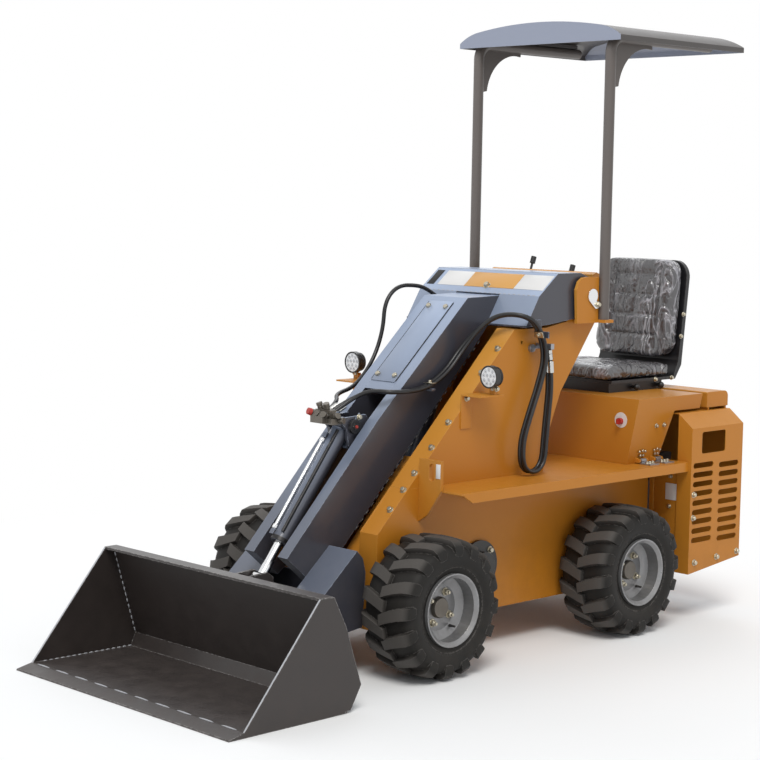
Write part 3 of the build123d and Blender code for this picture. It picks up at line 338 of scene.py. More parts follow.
# The sheen values paint light into the colour: a pale reflection of the sky on faces that look up or
# forwards, strongest on the boom's top and the roof's front fascia.
RECIPES = {
    "body_yellow": ((0.46, 0.172, 0.014), 0.38, dict(coat=0.06, dust=0.30, dust_top=0.6, wear=0.35,
        wear_colour=(0.70, 0.36, 0.10), dust_colour=(0.15, 0.066, 0.018), strength=0.04,
        painted_sheen_colour=(0.72, 0.36, 0.07), painted_sheen_up=0.30, painted_sheen_front=0.40, gloss=0.28)),
    # The boom is dark paint; its pale blue-grey tops are a painted reflection.
    "boom_blue": ((0.046, 0.046, 0.058), 0.32, dict(coat=0.25, dust=0.08, wear=0.9,
        wear_colour=(0.30, 0.34, 0.42), strength=0.04, painted_sheen_colour=(0.36, 0.44, 0.60), painted_sheen_up=0.95,
        painted_sheen_front=0.05)),
    "bucket_dark": ((0.028, 0.022, 0.020), 0.40, dict(coat=0.12, dust=0.35, dust_top=0.4, wear=1.0,
        wear_colour=(0.42, 0.40, 0.39), dust_colour=(0.060, 0.045, 0.038), strength=0.08, scale=160,
        painted_sheen_colour=(0.12, 0.11, 0.11), painted_sheen_up=0.5)),
    # The roof fascia's pale blue front is a painted reflection.
    "canopy_grey": ((0.050, 0.043, 0.040), 0.40, dict(coat=0.2, dust=0.05, wear=0.35,
        wear_colour=(0.16, 0.14, 0.13), painted_sheen_colour=(0.30, 0.33, 0.42), painted_sheen_front=0.95)),
    "post_brown": ((0.085, 0.070, 0.062), 0.40, dict(coat=0.15, dust=0.05, wear=0.3,
        wear_colour=(0.16, 0.14, 0.13), painted_sheen_colour=(0.16, 0.14, 0.13), painted_sheen_front=0.5)),
    "lamp_black": ((0.012, 0.012, 0.013), 0.35, dict(coat=0.1, dust=0.1, wear=0.3, strength=0.12)),
    "rim_silver": ((0.26, 0.26, 0.265), 0.30, dict(metallic=0.6, coat=0.15, dust=0.45, dust_top=0.6,
        wear=0.35, wear_colour=(0.6, 0.6, 0.6), dust_colour=(0.10, 0.085, 0.07), strength=0.10)),
    "tyre": ((0.011, 0.010, 0.009), 0.60, dict(gloss=0.25, dust=0.22, dust_top=0.6, wear=0.9,
        wear_colour=(0.095, 0.088, 0.082), dust_colour=(0.085, 0.072, 0.06), scale=420, strength=0.22)),
    "rod_chrome": ((0.78, 0.79, 0.80), 0.10, dict(metallic=1.0, dust=0.05, wear=0.0, strength=0.01)),
    "engine_metal": ((0.05, 0.05, 0.055), 0.55, dict(metallic=0.4, scale=120, strength=0.3)),
    "lever_black": ((0.014, 0.014, 0.015), 0.42, dict(dust=0.05, wear=0.1, strength=0.1)),
    "key_red": ((0.40, 0.022, 0.015), 0.3, dict(dust=0.05, wear=0.1, strength=0.03)),
    "seat_shell_black": ((0.010, 0.010, 0.012), 0.36, dict(dust=0.05, wear=0.3, strength=0.15)),
    "coupler_steel": ((0.17, 0.155, 0.135), 0.38, dict(metallic=0.85, dust=0.3, dust_top=2.0,
        dust_colour=(0.05, 0.04, 0.03), wear=0.5, strength=0.2, scale=180)),
    "hinge_steel": ((0.36, 0.37, 0.40), 0.34, dict(metallic=0.8, dust=0.15, wear=0.2, strength=0.1)),
    "hose_rubber": ((0.010, 0.010, 0.011), 0.36, dict(dust=0.04, wear=0.0, scale=600, strength=0.1)),
    "bolt_zinc": ((0.52, 0.48, 0.38), 0.30, dict(metallic=0.95, dust=0.15, wear=0.1, strength=0.08)),
    "bolt_black": ((0.02, 0.02, 0.022), 0.38, dict(metallic=0.5, dust=0.1, wear=0.3, strength=0.08)),
    "ferrule_steel": ((0.62, 0.62, 0.60), 0.24, dict(metallic=1.0, dust=0.05, wear=0.1)),
    "plate_white": ((0.74, 0.73, 0.72), 0.35, dict(dust=0.03, wear=0.0, strength=0.01)),
    "plate_orange": ((0.66, 0.34, 0.09), 0.35, dict(dust=0.03, wear=0.0, strength=0.01)),
    "lens_white": ((0.80, 0.82, 0.84), 0.12, dict(coat=0.8, dust=0.0, wear=0.0, strength=0.02)),
    "seal_black": ((0.010, 0.010, 0.011), 0.7, dict(dust=0.1, wear=0.0, strength=0.1)),
    "weld_light": ((0.42, 0.43, 0.46), 0.30, dict(coat=0.3, dust=0.05, wear=0.2, scale=140, strength=0.3)),
    "cap_red": ((0.40, 0.03, 0.02), 0.45, dict(dust=0.1, wear=0.1, strength=0.1)),
}
finishes = {name: make_finish(name, colour, roughness, **more)
            for name, (colour, roughness, more) in RECIPES.items()}
tyre_tree = finishes["tyre"].node_tree
tyre_colour = tyre_tree.nodes["Principled BSDF"].inputs["Base Color"]
worn_mark = add_node(tyre_tree, "ShaderNodeAttribute", attribute_name="worn")
worn_share = math_node(tyre_tree, "MULTIPLY", worn_mark.outputs["Fac"], 0.8)
rubbed = mix_colour(tyre_tree, worn_share, tyre_colour.links[0].from_socket, (0.088, 0.080, 0.073, 1))
tyre_tree.links.new(rubbed, tyre_colour)
print("finishes:", len(finishes))

# %% Paint the CAD nodes
slot_of = {piece["node"]: piece["material_slot"] for piece in frame["record"]["subparts"]}
for node_name, node_object in frame["nodes"].items():
    finish_name = "post_brown" if "post" in node_name else slot_of[node_name]
    node_object.data.materials.clear()
    node_object.data.materials.append(finishes.get(finish_name, finishes["seat_shell_black"]))
print("painted nodes:", len(frame["nodes"]))

# %% [markdown]
# ## Building helpers
# Every piece starts as a bmesh, is shaped by operators, and is then turned into an object at the
# origin with its material and the CAD body it moves with. The nearest CAD slot for a finish that
# the record has no slot for is looked up, but not given to the piece.

# %% From bmesh to piece
NEAREST_SLOT = {"bolt_zinc": "hinge_steel", "ferrule_steel": "hinge_steel", "bolt_black": "boom_blue",
                "cap_red": "key_red", "seal_black": "lamp_black", "plate_white": "rim_silver",
                "lens_white": "rim_silver", "weld_light": "bucket_dark", "plate_orange": "body_yellow"}


def finish_piece(name, bm, finish, body, slot=None, smooth_angle=38, recalc=True):
    bmesh.ops.remove_doubles(bm, verts=bm.verts, dist=1e-6)
    if recalc:
        bmesh.ops.recalc_face_normals(bm, faces=bm.faces)
    mesh = new_mesh(name, bm)
    mesh.materials.append(finishes[finish])
    for face in mesh.polygons:
        face.use_smooth = True
    mesh.set_sharp_from_angle(angle=math.radians(smooth_angle))
    piece = new_object(name, mesh)
    slot = slot or NEAREST_SLOT.get(finish)
    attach(piece, body)
    return piece


def axes_from(normal, hint=Vector((0, 0, 1))):
    """A turn whose local Z is the normal and whose local X lies as near the hint as it can."""
    z_axis = Vector(normal).normalized()
    hint = Vector(hint)
    if abs(hint.normalized().dot(z_axis)) > 0.98:
        hint = Vector((1, 0, 0))
    x_axis = (hint - hint.dot(z_axis) * z_axis).normalized()
    y_axis = z_axis.cross(x_axis)
    return Matrix((x_axis, y_axis, z_axis)).transposed().to_4x4()


def standing(place, normal, hint=Vector((0, 0, 1))):
    return Matrix.Translation(place) @ axes_from(normal, hint)


def add_disc(bm, matrix, low_r, high_r, start, end, sides=24):
    """A round or many-sided boss along local Z, from start to end."""
    bmesh.ops.create_cone(bm, cap_ends=True, segments=sides, radius1=low_r, radius2=high_r,
                          depth=end - start, matrix=matrix @ Matrix.Translation((0, 0, (start + end) / 2)))


def add_discs(bm, matrix, *steps):
    """Several discs on one axis, each given as low radius, high radius, start, end and sides."""
    for step in steps:
        add_disc(bm, matrix, *step)


def add_bolt(bm, place, normal, across=0.016, hint=Vector((0, 0, 1)), washer=True):
    """A hexagon bolt with a washer under its head and a shallow dished top."""
    matrix = standing(place, normal, hint)
    lift = 0.0
    if washer:
        add_disc(bm, matrix, across * 0.78, across * 0.74, -0.0005, 0.0020, 20)
        lift = 0.0020
    add_disc(bm, matrix, across * 0.577, across * 0.577, lift, lift + across * 0.50, 6)
    add_disc(bm, matrix, across * 0.50, across * 0.44, lift + across * 0.50, lift + across * 0.62, 18)


def add_plate(bm, outline, matrix, thickness, bevel=0.0006):
    """A flat plate: the outline lies in the local XY plane and the plate grows along local Z."""
    corners = [bm.verts.new(matrix @ Vector((u, v, 0))) for u, v in outline]
    face = bm.faces.new(corners)
    grown = bmesh.ops.extrude_face_region(bm, geom=[face])
    moved = [g for g in grown["geom"] if isinstance(g, bmesh.types.BMVert)]
    bmesh.ops.translate(bm, verts=moved, vec=(matrix.to_3x3() @ Vector((0, 0, thickness))))
    touched = set(corners) | set(moved)
    if bevel:
        edges = [e for e in bm.edges if e.verts[0] in touched and e.verts[1] in touched]
        bmesh.ops.bevel(bm, geom=edges, offset=bevel, offset_type="OFFSET", segments=2, profile=0.5,
                        affect="EDGES", material=-1)


def add_rect(bm, matrix, half_u, half_v, thickness, bevel=0.0006):
    """A plate with four square corners, centred on the matrix."""
    outline = [(-half_u, -half_v), (half_u, -half_v), (half_u, half_v), (-half_u, half_v)]
    add_plate(bm, outline, matrix, thickness, bevel)


print("building helpers ready")

# %% [markdown]
# ## Tyres
# The real tyre is a small industrial lug tyre: a rounded carcass with thick curved bars that
# start near the middle and run out to the shoulder, with the two sides half a step apart. The
# carcass is one profile spun round the axle. A bar is a divided box whose points are then laid on
# the carcass, so all bars share one recipe. An attribute marks the bars' rubbed tops.

# %% Tyre sizes and carcass profile
TYRE_R, TYRE_MID_X, TYRE_HALF = 0.254, 0.4195, 0.1205
BARS_PER_SIDE, BAR_RISE, BAR_START, BAR_RUN = 16, 0.021, -0.010, 0.146
SHOULDER_X, CROWN_DROP, BAR_TURN = 0.085, 0.72, -0.17
AXLE_Z = 254
CARCASS = [(-0.0985, 0.119), (-0.0985, 0.133), (-0.106, 0.150), (-0.1145, 0.172), (-0.1165, 0.190),
           (-0.113, 0.207), (-0.104, 0.219), (-0.088, 0.2275), (-0.060, 0.2325), (-0.030, 0.2345),
           (0.0, 0.235)]
CARCASS = CARCASS + [(-x, r) for x, r in reversed(CARCASS[:-1])]
wheels = {"front_left": (1, 0), "front_right": (-1, 0), "rear_left": (1, 1062), "rear_right": (-1, 1062)}


def carcass_at(distance):
    """Place and outward lean on one half of the carcass, at a distance from its middle over the shoulder."""
    half = [p for p in CARCASS if p[0] >= 0]
    run = 0.0
    for (x0, r0), (x1, r1) in zip(half, half[1:]):
        step = math.hypot(x1 - x0, r1 - r0)
        if run + step >= distance or (x1, r1) == half[-1]:
            share = min(max((distance - run) / step, 0), 1)
            across, rise = (x1 - x0) / step, (r1 - r0) / step
            return x0 + (x1 - x0) * share, r0 + (r1 - r0) * share, (-rise, across)
        run += step


def make_bar(hand):
    """One tread bar at the top of the tyre: a divided box laid on the carcass."""
    bm = bmesh.new()
    bmesh.ops.create_cube(bm, size=1.0)
    long_edges = [e for e in bm.edges if abs(e.verts[0].co.x - e.verts[1].co.x) > 0.5]
    bmesh.ops.subdivide_edges(bm, edges=long_edges, cuts=9)
    for vert in bm.verts:
        along = vert.co.x + 0.5
        side = vert.co.y * 2
        on_top = vert.co.z > 0
        distance = BAR_START + BAR_RUN * along
        x, r, (lean_x, lean_r) = carcass_at(max(distance, 0.0))
        x += min(distance, 0.0)
        fade = min(1.0, max(0.10, 1.0 - (along - 0.70) / 0.30))
        rise = -0.004
        if on_top:
            crown = TYRE_R - 0.0006 - CROWN_DROP * x * x
            rise = min(crown - r, BAR_RISE) if x < SHOULDER_X else BAR_RISE * fade
        width = (0.0200 + 0.0030 * along) * (0.90 if on_top else 1.06) * (1 - max(0.0, along - 0.9) * 3)
        turn = BAR_TURN * (1 - along) ** 1.5 + side * width / max(r, 0.15)
        x, r = min(x + lean_x * rise, TYRE_HALF - 0.0004), min(r + lean_r * rise, TYRE_R)
        vert.co = Vector((hand * x, r * math.sin(turn), r * math.cos(turn)))
    return new_mesh("tread_bar", bm)


print("carcass points:", len(CARCASS))

# %% Build one tyre and place it four times
def spin_profile(bm, profile, steps, x_sign=1.0):
    """Spin (x, radius) points round the local X axis into a closed ring of faces."""
    verts = [bm.verts.new((x * x_sign, 0, r)) for x, r in profile]
    edges = [bm.edges.new(pair) for pair in zip(verts, verts[1:])]
    bmesh.ops.spin(bm, geom=verts + edges, cent=(0, 0, 0), axis=(1, 0, 0), dvec=(0, 0, 0),
                   angle=math.tau, steps=steps, use_merge=True, use_duplicate=False)


def turn_all(bm, angle, axis):
    bmesh.ops.rotate(bm, verts=bm.verts, cent=(0, 0, 0), matrix=Matrix.Rotation(angle, 3, axis))


tread_bars = [make_bar(1), make_bar(-1)]
start_turns = {"front_left": 0.10, "front_right": 0.5, "rear_left": 0.22, "rear_right": 0.3}
RUBBED_FROM, RUBBED_OVER = 0.238, 0.008
for wheel, (side, y) in wheels.items():
    bm = bmesh.new()
    spin_profile(bm, CARCASS + [(-0.0985, 0.119)], 96)
    bmesh.ops.remove_doubles(bm, verts=bm.verts, dist=1e-5)
    for index in range(2 * BARS_PER_SIDE):
        turn_all(bm, math.tau / BARS_PER_SIDE / 2, "X")
        bm.from_mesh(tread_bars[index % 2])
    for face_ring in (0.150, 0.158):
        for hand in (-1, 1):
            rib = [(0.1050, face_ring), (0.1090, face_ring + 0.002), (0.1085, face_ring + 0.005)]
            spin_profile(bm, rib, 72, hand)
    if side < 0:
        turn_all(bm, math.pi, "Z")
    turn_all(bm, start_turns[wheel], "X")
    axle = at(0, y, AXLE_Z)
    bmesh.ops.translate(bm, verts=bm.verts, vec=axle + Vector((side * TYRE_MID_X, 0, 0)))
    tyre_piece = finish_piece("lug_tyre_" + wheel, bm, "tyre", "wheel_" + wheel, smooth_angle=42)
    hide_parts("tyre_" + wheel)
    worn = tyre_piece.data.attributes.new("worn", "FLOAT", "POINT")
    for vert, mark in zip(tyre_piece.data.vertices, worn.data):
        radius = math.hypot(vert.co.y - axle.y, vert.co.z - axle.z)
        mark.value = min(max((radius - RUBBED_FROM) / RUBBED_OVER, 0.0), 1.0)
print("tyre faces:", len(tyre_piece.data.polygons))

# %% [markdown]
# ## Wheel nuts, hub caps and valves
# The rims come from CAD. What a hand would touch is added here: four nuts on short studs,
# the valve stem, and a cup over the end of each axle stub.

# %% Wheel fittings
DISC_X, NUT_CIRCLE, VALVE_CIRCLE, VALVE_TURN = 0.457, 0.061, 0.090, 2.5
HUB_CUP = [(0.4572, 0.0330), (0.4572, 0.0385), (0.4690, 0.0375), (0.4738, 0.0340), (0.4738, 0.0),
           (0.4722, 0.0), (0.4722, 0.0320), (0.4572, 0.0330)]
for wheel, (side, y) in wheels.items():
    body, centre = "wheel_" + wheel, at(0, y, AXLE_Z)

    def on_disc(x, radius, angle):
        """A frame on the wheel's outer side, its local Z pointing away from the machine."""
        place = Vector((side * x, radius * math.sin(angle), radius * math.cos(angle)))
        return standing(centre + place, (side, 0, 0))

    bm = bmesh.new()
    for index in range(4):
        add_discs(bm, on_disc(DISC_X, NUT_CIRCLE, math.tau * (index + 0.35) / 4),
                  (0.0155, 0.0145, -0.0005, 0.003, 20), (0.0115, 0.0115, 0.003, 0.014, 6),
                  (0.0100, 0.0085, 0.014, 0.017, 18), (0.0060, 0.0055, 0.014, 0.024, 14))
    finish_piece("wheel_nuts_" + wheel, bm, "bolt_zinc", body, slot="rim_silver")
    bm = bmesh.new()
    add_discs(bm, on_disc(DISC_X + 0.005, VALVE_CIRCLE, VALVE_TURN),
              (0.0055, 0.0045, 0.0, 0.012, 14), (0.0042, 0.0040, 0.012, 0.026, 12))
    finish_piece("valve_" + wheel, bm, "seal_black", body, slot="tyre")
    bm = bmesh.new()
    spin_profile(bm, HUB_CUP, 40, side)
    bmesh.ops.translate(bm, verts=bm.verts, vec=centre)
    finish_piece("hub_cap_" + wheel, bm, "coupler_steel", body)
print("wheel fittings:", 4 * 3)

# %% [markdown]
# ## Hoses
# Each hose is a smooth curve through the same points as the CAD tube's route. A pair runs from the
# couplers up the left arm and hangs in a loop to the tower, and one runs up the right side.

# %% Hoses
HOSE_RADIUS, HOSE_SPACING = 0.008, 19
BOOM_ROUTE = [(-30, -81.5, 908), (-10, -10, 950), (50, 40, 985), (140, 78, 982), (132, 225, 985),
              (130, 346, 1041), (132, 425, 1125), (180, 475, 1207), (245, 525, 1262), (334, 575, 1258),
              (330, 640, 1208), (330, 660, 1160)]
BOOM_SHIFT = [(19, 0, 0), (16, -12, 0), (12, -16, 4), (18, -14, 4), (19, 0, 0), (19, 0, 0), (19, 0, 0),
              (17, -10, 6), (10, -17, 4), (17, -13, 4), (19, 0, 0), (19, 0, 0)]
LOOP_ROUTE = [(330, 660.4, 1159), (330, 682, 1107), (330, 650, 1005), (330, 590, 875), (330, 556, 790),
              (330, 556, 704), (330, 592, 668), (330, 644, 668), (330, 680, 704), (330, 686, 785),
              (330, 698, 890), (330, 708, 985), (330, 700, 1070), (330, 690, 1127)]
RIGHT_ROUTE = [(-50, -81.5, 908), (-66, -12, 938), (-145, 48, 955), (-165, 170, 975), (-195, 290, 1065),
               (-200, 345, 1180), (-200, 352, 1290), (-200, 420, 1352), (-200, 530, 1350),
               (-200, 590, 1332), (-200, 642, 1302)]


def lay_hose(name, route, body):
    curve = bpy.data.curves.new(name, "CURVE")
    curve.dimensions = "3D"
    curve.bevel_depth = HOSE_RADIUS
    curve.bevel_resolution = 4
    curve.use_fill_caps = True
    spline = curve.splines.new("NURBS")
    spline.points.add(len(route) - 1)
    for point, place_mm in zip(spline.points, route):
        point.co = (*at(*place_mm), 1)
    spline.order_u = 3
    spline.use_endpoint_u = True
    spline.resolution_u = 10
    curve.materials.append(finishes["hose_rubber"])
    piece = new_object("soft_" + name, curve)
    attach(piece, body)
    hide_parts(name)


def beside(route, shifts):
    return [tuple(a + b for a, b in zip(point, shift)) for point, shift in zip(route, shifts)]


lay_hose("boom_hose_inner", BOOM_ROUTE, "boom")
lay_hose("boom_hose_outer", beside(BOOM_ROUTE, BOOM_SHIFT), "boom")
lay_hose("loop_hose_inner", LOOP_ROUTE, "chassis")
lay_hose("loop_hose_outer", beside(LOOP_ROUTE, [(HOSE_SPACING, 0, 0)] * len(LOOP_ROUTE)), "chassis")
lay_hose("boom_hose_right", RIGHT_ROUTE, "boom")
print("hoses:", 5)

# %% Ferrules, swivel nuts and clip straps on the hoses
def sleeve(bm, start, end, low_r, high_r, sides=24):
    """A round sleeve between two places given in millimetres."""
    a, b = at(*start), at(*end)
    add_disc(bm, standing(a, b - a), low_r, high_r, 0.0, (b - a).length, sides)


bm = bmesh.new()
for x in (330, 330 + HOSE_SPACING):
    sleeve(bm, (x, 703.5, 1040), (x, 698.5, 1084), 0.0106, 0.0106)
    sleeve(bm, (x, 697.5, 1090), (x, 692.5, 1112), 0.0112, 0.0112, 6)
    sleeve(bm, (x, 692.2, 1113), (x, 690, 1127), 0.0098, 0.0098)
finish_piece("loop_ferrules", bm, "ferrule_steel", "chassis")
bm = bmesh.new()
for x in (-30, -11, -50):
    sleeve(bm, (x, -86, 908), (x + 2, -64, 913), 0.0092, 0.0092, 6)
    sleeve(bm, (x + 2, -63, 913), (x + 7, -36, 929), 0.0104, 0.0104)
finish_piece("coupler_ferrules", bm, "ferrule_steel", "boom")
bm = bmesh.new()
add_rect(bm, Matrix.Translation(at(141, 260, 1008)), 0.021, 0.012, 0.0025)
add_bolt(bm, at(141, 260, 1010), (0, 0, 1), 0.012)
clip_out = (0, -0.92, -0.38)
add_rect(bm, standing(at(341, 637, 1186), clip_out, (0, -0.38, 0.92)), 0.012, 0.021, 0.0025)
add_bolt(bm, at(341, 634, 1185), clip_out, 0.012)
finish_piece("hose_clip_straps", bm, "bolt_zinc", "boom")
print("hose fittings ready")

# %% [markdown]
# ## The couplers
# Quick couplers stand in a cluster on their block: stepped sleeves on hexagons, and one red cap.

# %% Couplers and hard lines
bm = bmesh.new()
for x, y, z, turn_to in (
        (-34, -150, 905, (-0.25, -0.9, 0.3)), (-6, -150, 905, (0.0, -0.9, 0.35)),
        (20, -148, 903, (0.25, -0.9, 0.3)), (-30, -128, 922, (-0.2, -0.25, 0.9)),
        (0, -126, 922, (0.1, -0.3, 0.9)), (-48, -126, 900, (-0.9, -0.2, 0.3)),
        (36, -124, 896, (0.9, -0.1, 0.35)), (44, -112, 884, (0.9, 0.2, 0.1))):
    add_discs(bm, standing(at(x, y, z), turn_to), (0.0125, 0.0125, -0.004, 0.010, 6),
              (0.0105, 0.0105, 0.010, 0.016, 24), (0.0120, 0.0115, 0.016, 0.026, 24))
finish_piece("coupler_bodies", bm, "coupler_steel", "boom")
bm = bmesh.new()
add_disc(bm, standing(at(-38, -165, 912), (-0.25, -0.9, 0.3)), 0.0135, 0.0125, 0.004, 0.018, 24)
finish_piece("coupler_red_cap", bm, "cap_red", "boom")
bm = bmesh.new()
for place_mm in ((-60, -70, 880), (-58, -20, 905)):
    add_disc(bm, standing(at(*place_mm), (-1, 0, 0.2)), 0.014, 0.014, 0, 0.008, 6)
finish_piece("coupler_plugs", bm, "bolt_black", "boom", slot="coupler_steel")
TILT_PIN = (-44.5, 860)
tilt_start, tilt_end = Vector((0, *TILT_PIN)), Vector((0, -438, 340))
tilt_way = (tilt_end - tilt_start).normalized()
tilt_out = Vector((0, tilt_way.z, -tilt_way.y))


def on_tilt(x, distance, out):
    """A place beside the tilt cylinder: across, along its axis and out from it, in millimetres."""
    return tuple(tilt_start + tilt_way * distance + tilt_out * out + Vector((x, 0, 0)))


bm = bmesh.new()
sleeve(bm, on_tilt(-22, 82, 36), on_tilt(-22, 468, 36), 0.0068, 0.0068, 16)
for distance in (84, 452):
    sleeve(bm, on_tilt(-22, distance, 36), on_tilt(-22, distance + 14, 36), 0.0098, 0.0098, 6)
finish_piece("tilt_hard_line", bm, "rod_chrome", "tilt_barrel")
bm = bmesh.new()
sleeve(bm, on_tilt(24, 40, 33), on_tilt(24, 470, 33), 0.0062, 0.0062, 16)
sleeve(bm, on_tilt(0, 488, 0), on_tilt(0, 503, 0), 0.0375, 0.0375, 32)
finish_piece("tilt_line_and_gland", bm, "bolt_black", "tilt_barrel")
print("couplers ready")

# %% [markdown]
# ## Lamps
# Each work lamp has a pale lens with a ring of twelve small reflectors.

# %% Lamp lenses
LAMP_X, LAMP_Z, LAMP_RADIUS, LENS_Y, FIRST_FIN_Y, FIN_STEP = 363, 1044, 0.0365, 339.5, 363.5, 3.4
for tag, side in (("left", 1), ("right", -1)):
    lamp_face = standing(at(side * LAMP_X, LENS_Y, LAMP_Z), (0, -1, 0))
    bm = bmesh.new()
    add_disc(bm, lamp_face, LAMP_RADIUS, LAMP_RADIUS, -0.002, 0.0008, 40)
    finish_piece("lamp_lens_" + tag, bm, "lens_white", "chassis")
    bm = bmesh.new()
    for count, radius, turn in ((9, 0.026, 0.0), (3, 0.0105, 0.5)):
        for index in range(count):
            angle = math.tau * (index + turn) / count
            spot = lamp_face @ Matrix.Translation((radius * math.cos(angle), radius * math.sin(angle), 0))
            bmesh.ops.create_cone(bm, cap_ends=False, segments=16, radius1=0.0068, radius2=0.0056,
                                  depth=0.0010, matrix=spot @ Matrix.Translation((0, 0, 0.0012)))
            add_disc(bm, spot, 0.0030, 0.0026, 0.0004, 0.0016, 12)
    finish_piece("lamp_reflectors_" + tag, bm, "hinge_steel", "chassis", recalc=False)
    bm = bmesh.new()
    for index in range(5):
        fin = standing(at(side * LAMP_X, FIRST_FIN_Y + FIN_STEP * index, LAMP_Z), (0, 1, 0))
        add_disc(bm, fin, LAMP_RADIUS, LAMP_RADIUS, 0.0, 0.0014, 32)
    finish_piece("lamp_fins_" + tag, bm, "lamp_black", "chassis")
    bm = bmesh.new()
    add_bolt(bm, at(side * LAMP_X, 366, 1002), (0, -0.3, -1), 0.016)
    add_bolt(bm, at(side * 376.5, 367, 1000), (side, 0, 0), 0.014)
    add_bolt(bm, at(side * 290.5, 300, 962), (side, 0, 0), 0.015)
    finish_piece("lamp_bolts_" + tag, bm, "bolt_zinc", "chassis")
print("lamps ready")

# %% [markdown]
# ## Bolts
# Small fasteners are listed where a fitter would find them, a row at a time.

# %% Bolts on the chassis, the boom and the roof
def row(first, last, count):
    """Evenly spaced places from first to last."""
    a, b = Vector(first), Vector(last)
    return [tuple(a.lerp(b, index / (count - 1))) for index in range(count)]


HINGE_Y = (1195, 1290)
bm = bmesh.new()
slope = Vector((0, -0.707, 0.707))
for side in (1, -1):
    x = side * 268
    for place_mm in row((x, 60, 702), (x, 490, 1133), 6) + row((x, -60, 582), (x, 5, 647), 2):
        add_bolt(bm, at(*place_mm), slope, 0.017)
    add_bolt(bm, at(side * 344, 976, 1290), (side, 0, 0), 0.016)
    for index in range(4):
        turn = math.tau * (index + 0.5) / 4
        place = at(side * 297, 385 + 76 * math.sin(turn), 330 + 76 * math.cos(turn))
        add_bolt(bm, place, (side, 0, 0), 0.018)
finish_piece("chassis_bolts", bm, "bolt_zinc", "chassis")
bm = bmesh.new()
for side in (1, -1):
    for y, z, across in ((1440, 241, 0.017), (1590, 248, 0.017), (1730, 255, 0.017),
                         (1422, 425, 0.016), (1422, 520, 0.016)):
        add_bolt(bm, at(side * 500, y, z), (side, 0, 0), across)
finish_piece("hood_bolts", bm, "bolt_zinc", "chassis")
bm = bmesh.new()
cover_normal = Vector((0, -0.682, 0.731))
for x in (-45, 45):
    for y in (440, 175):
        add_bolt(bm, at(x, y, 1317 - (483 - y) * 0.933), cover_normal, 0.018)
add_bolt(bm, at(58.5, -22, 893), (1, 0, 0), 0.015)
finish_piece("boom_bolts", bm, "bolt_zinc", "boom")
bm = bmesh.new()
for y0 in HINGE_Y:
    for dy in (12, 30, 48):
        add_bolt(bm, at(428, y0 + dy, 657), (0, 0, 1), 0.011)
finish_piece("hinge_bolts", bm, "bolt_zinc", "chassis")
bm = bmesh.new()
cover_panel = standing(at(0, 307.5, 1154.5), cover_normal, Vector((0, 0.731, 0.682)))
add_rect(bm, cover_panel, 0.212, 0.062, 0.0022, 0.0008)
finish_piece("cover_panel", bm, "boom_blue", "boom")
bm = bmesh.new()
for edge in (0.064, -0.064):
    add_rect(bm, cover_panel @ Matrix.Translation((0, edge, 0)), 0.206, 0.002, 0.0012, 0)
finish_piece("cover_panel_gap", bm, "seal_black", "boom")
bosses, nipples = bmesh.new(), bmesh.new()
for side in (1, -1):
    boss = standing(at(side * 56, *TILT_PIN), (side, 0, 0))
    add_discs(bosses, boss, (0.027, 0.025, 0.0, 0.010, 32), (0.014, 0.013, 0.010, 0.014, 6))
    add_disc(nipples, boss, 0.006, 0.005, 0.014, 0.019, 16)
finish_piece("tilt_pin_bosses", bosses, "bolt_black", "boom")
finish_piece("tilt_pin_nipples", nipples, "cap_red", "boom")
print("bolts ready")

# %% Hinge leaves on the seat box, its key plate and its bolts
BOX_FOOT_X, BOX_FOOT_Z = 372, 652
lean = (425 - BOX_FOOT_X) / (915 - 652.3)
leaf_normal = Vector((1, 0, -lean)).normalized()
bm = bmesh.new()
for y0 in HINGE_Y:
    leaf = standing(at(374.8, y0 + 30, 684), leaf_normal, Vector((0, 1, 0)))
    add_rect(bm, leaf, 0.028, 0.024, 0.0030)
finish_piece("hinge_leaves", bm, "hinge_steel", "seat_box")
bm = bmesh.new()
for y0 in HINGE_Y:
    for dy, z in ((12, 700), (30, 703), (48, 700), (21, 684), (39, 684)):
        x = BOX_FOOT_X + lean * (z - BOX_FOOT_Z) + 5.4
        add_bolt(bm, at(x, y0 + dy, z), leaf_normal, 0.010, washer=False)
for y in (1292, 1342):
    add_bolt(bm, at(BOX_FOOT_X + lean * (800 - BOX_FOOT_Z) + 1.2, y, 800), leaf_normal, 0.012)
finish_piece("seat_box_bolts", bm, "bolt_zinc", "seat_box")
bm = bmesh.new()
add_disc(bm, standing(at(336, 1150, 826), (0, -1, 0)), 0.031, 0.031, 0.0, 0.0012, 40)
finish_piece("key_plate", bm, "plate_white", "seat_box")
print("seat box fittings ready")

# %% [markdown]
# ## Blank plates
# The boom's top carries a long plate in three fields. The step's tab and the tub's side carry plates too;
# one of them, facing forwards on the left, is made here.

# %% Plates
head_slope = Vector((0, -0.622, 0.783))
head_up = Vector((0, 0.783, 0.622))


def on_head(x, up):
    """A place on the boom head's sloping front face, up from its lower fold, in millimetres."""
    return at(x, 662 + up * 0.783, 1328 + up * 0.622)


def head_plate(name, x_from, x_to, finish):
    bm = bmesh.new()
    middle = on_head((x_from + x_to) / 2, 76)
    half_width = abs(x_to - x_from) / 2000
    add_rect(bm, standing(middle, head_slope, head_up), 0.043, half_width, 0.0012, 0.0004)
    finish_piece(name, bm, finish, "boom")


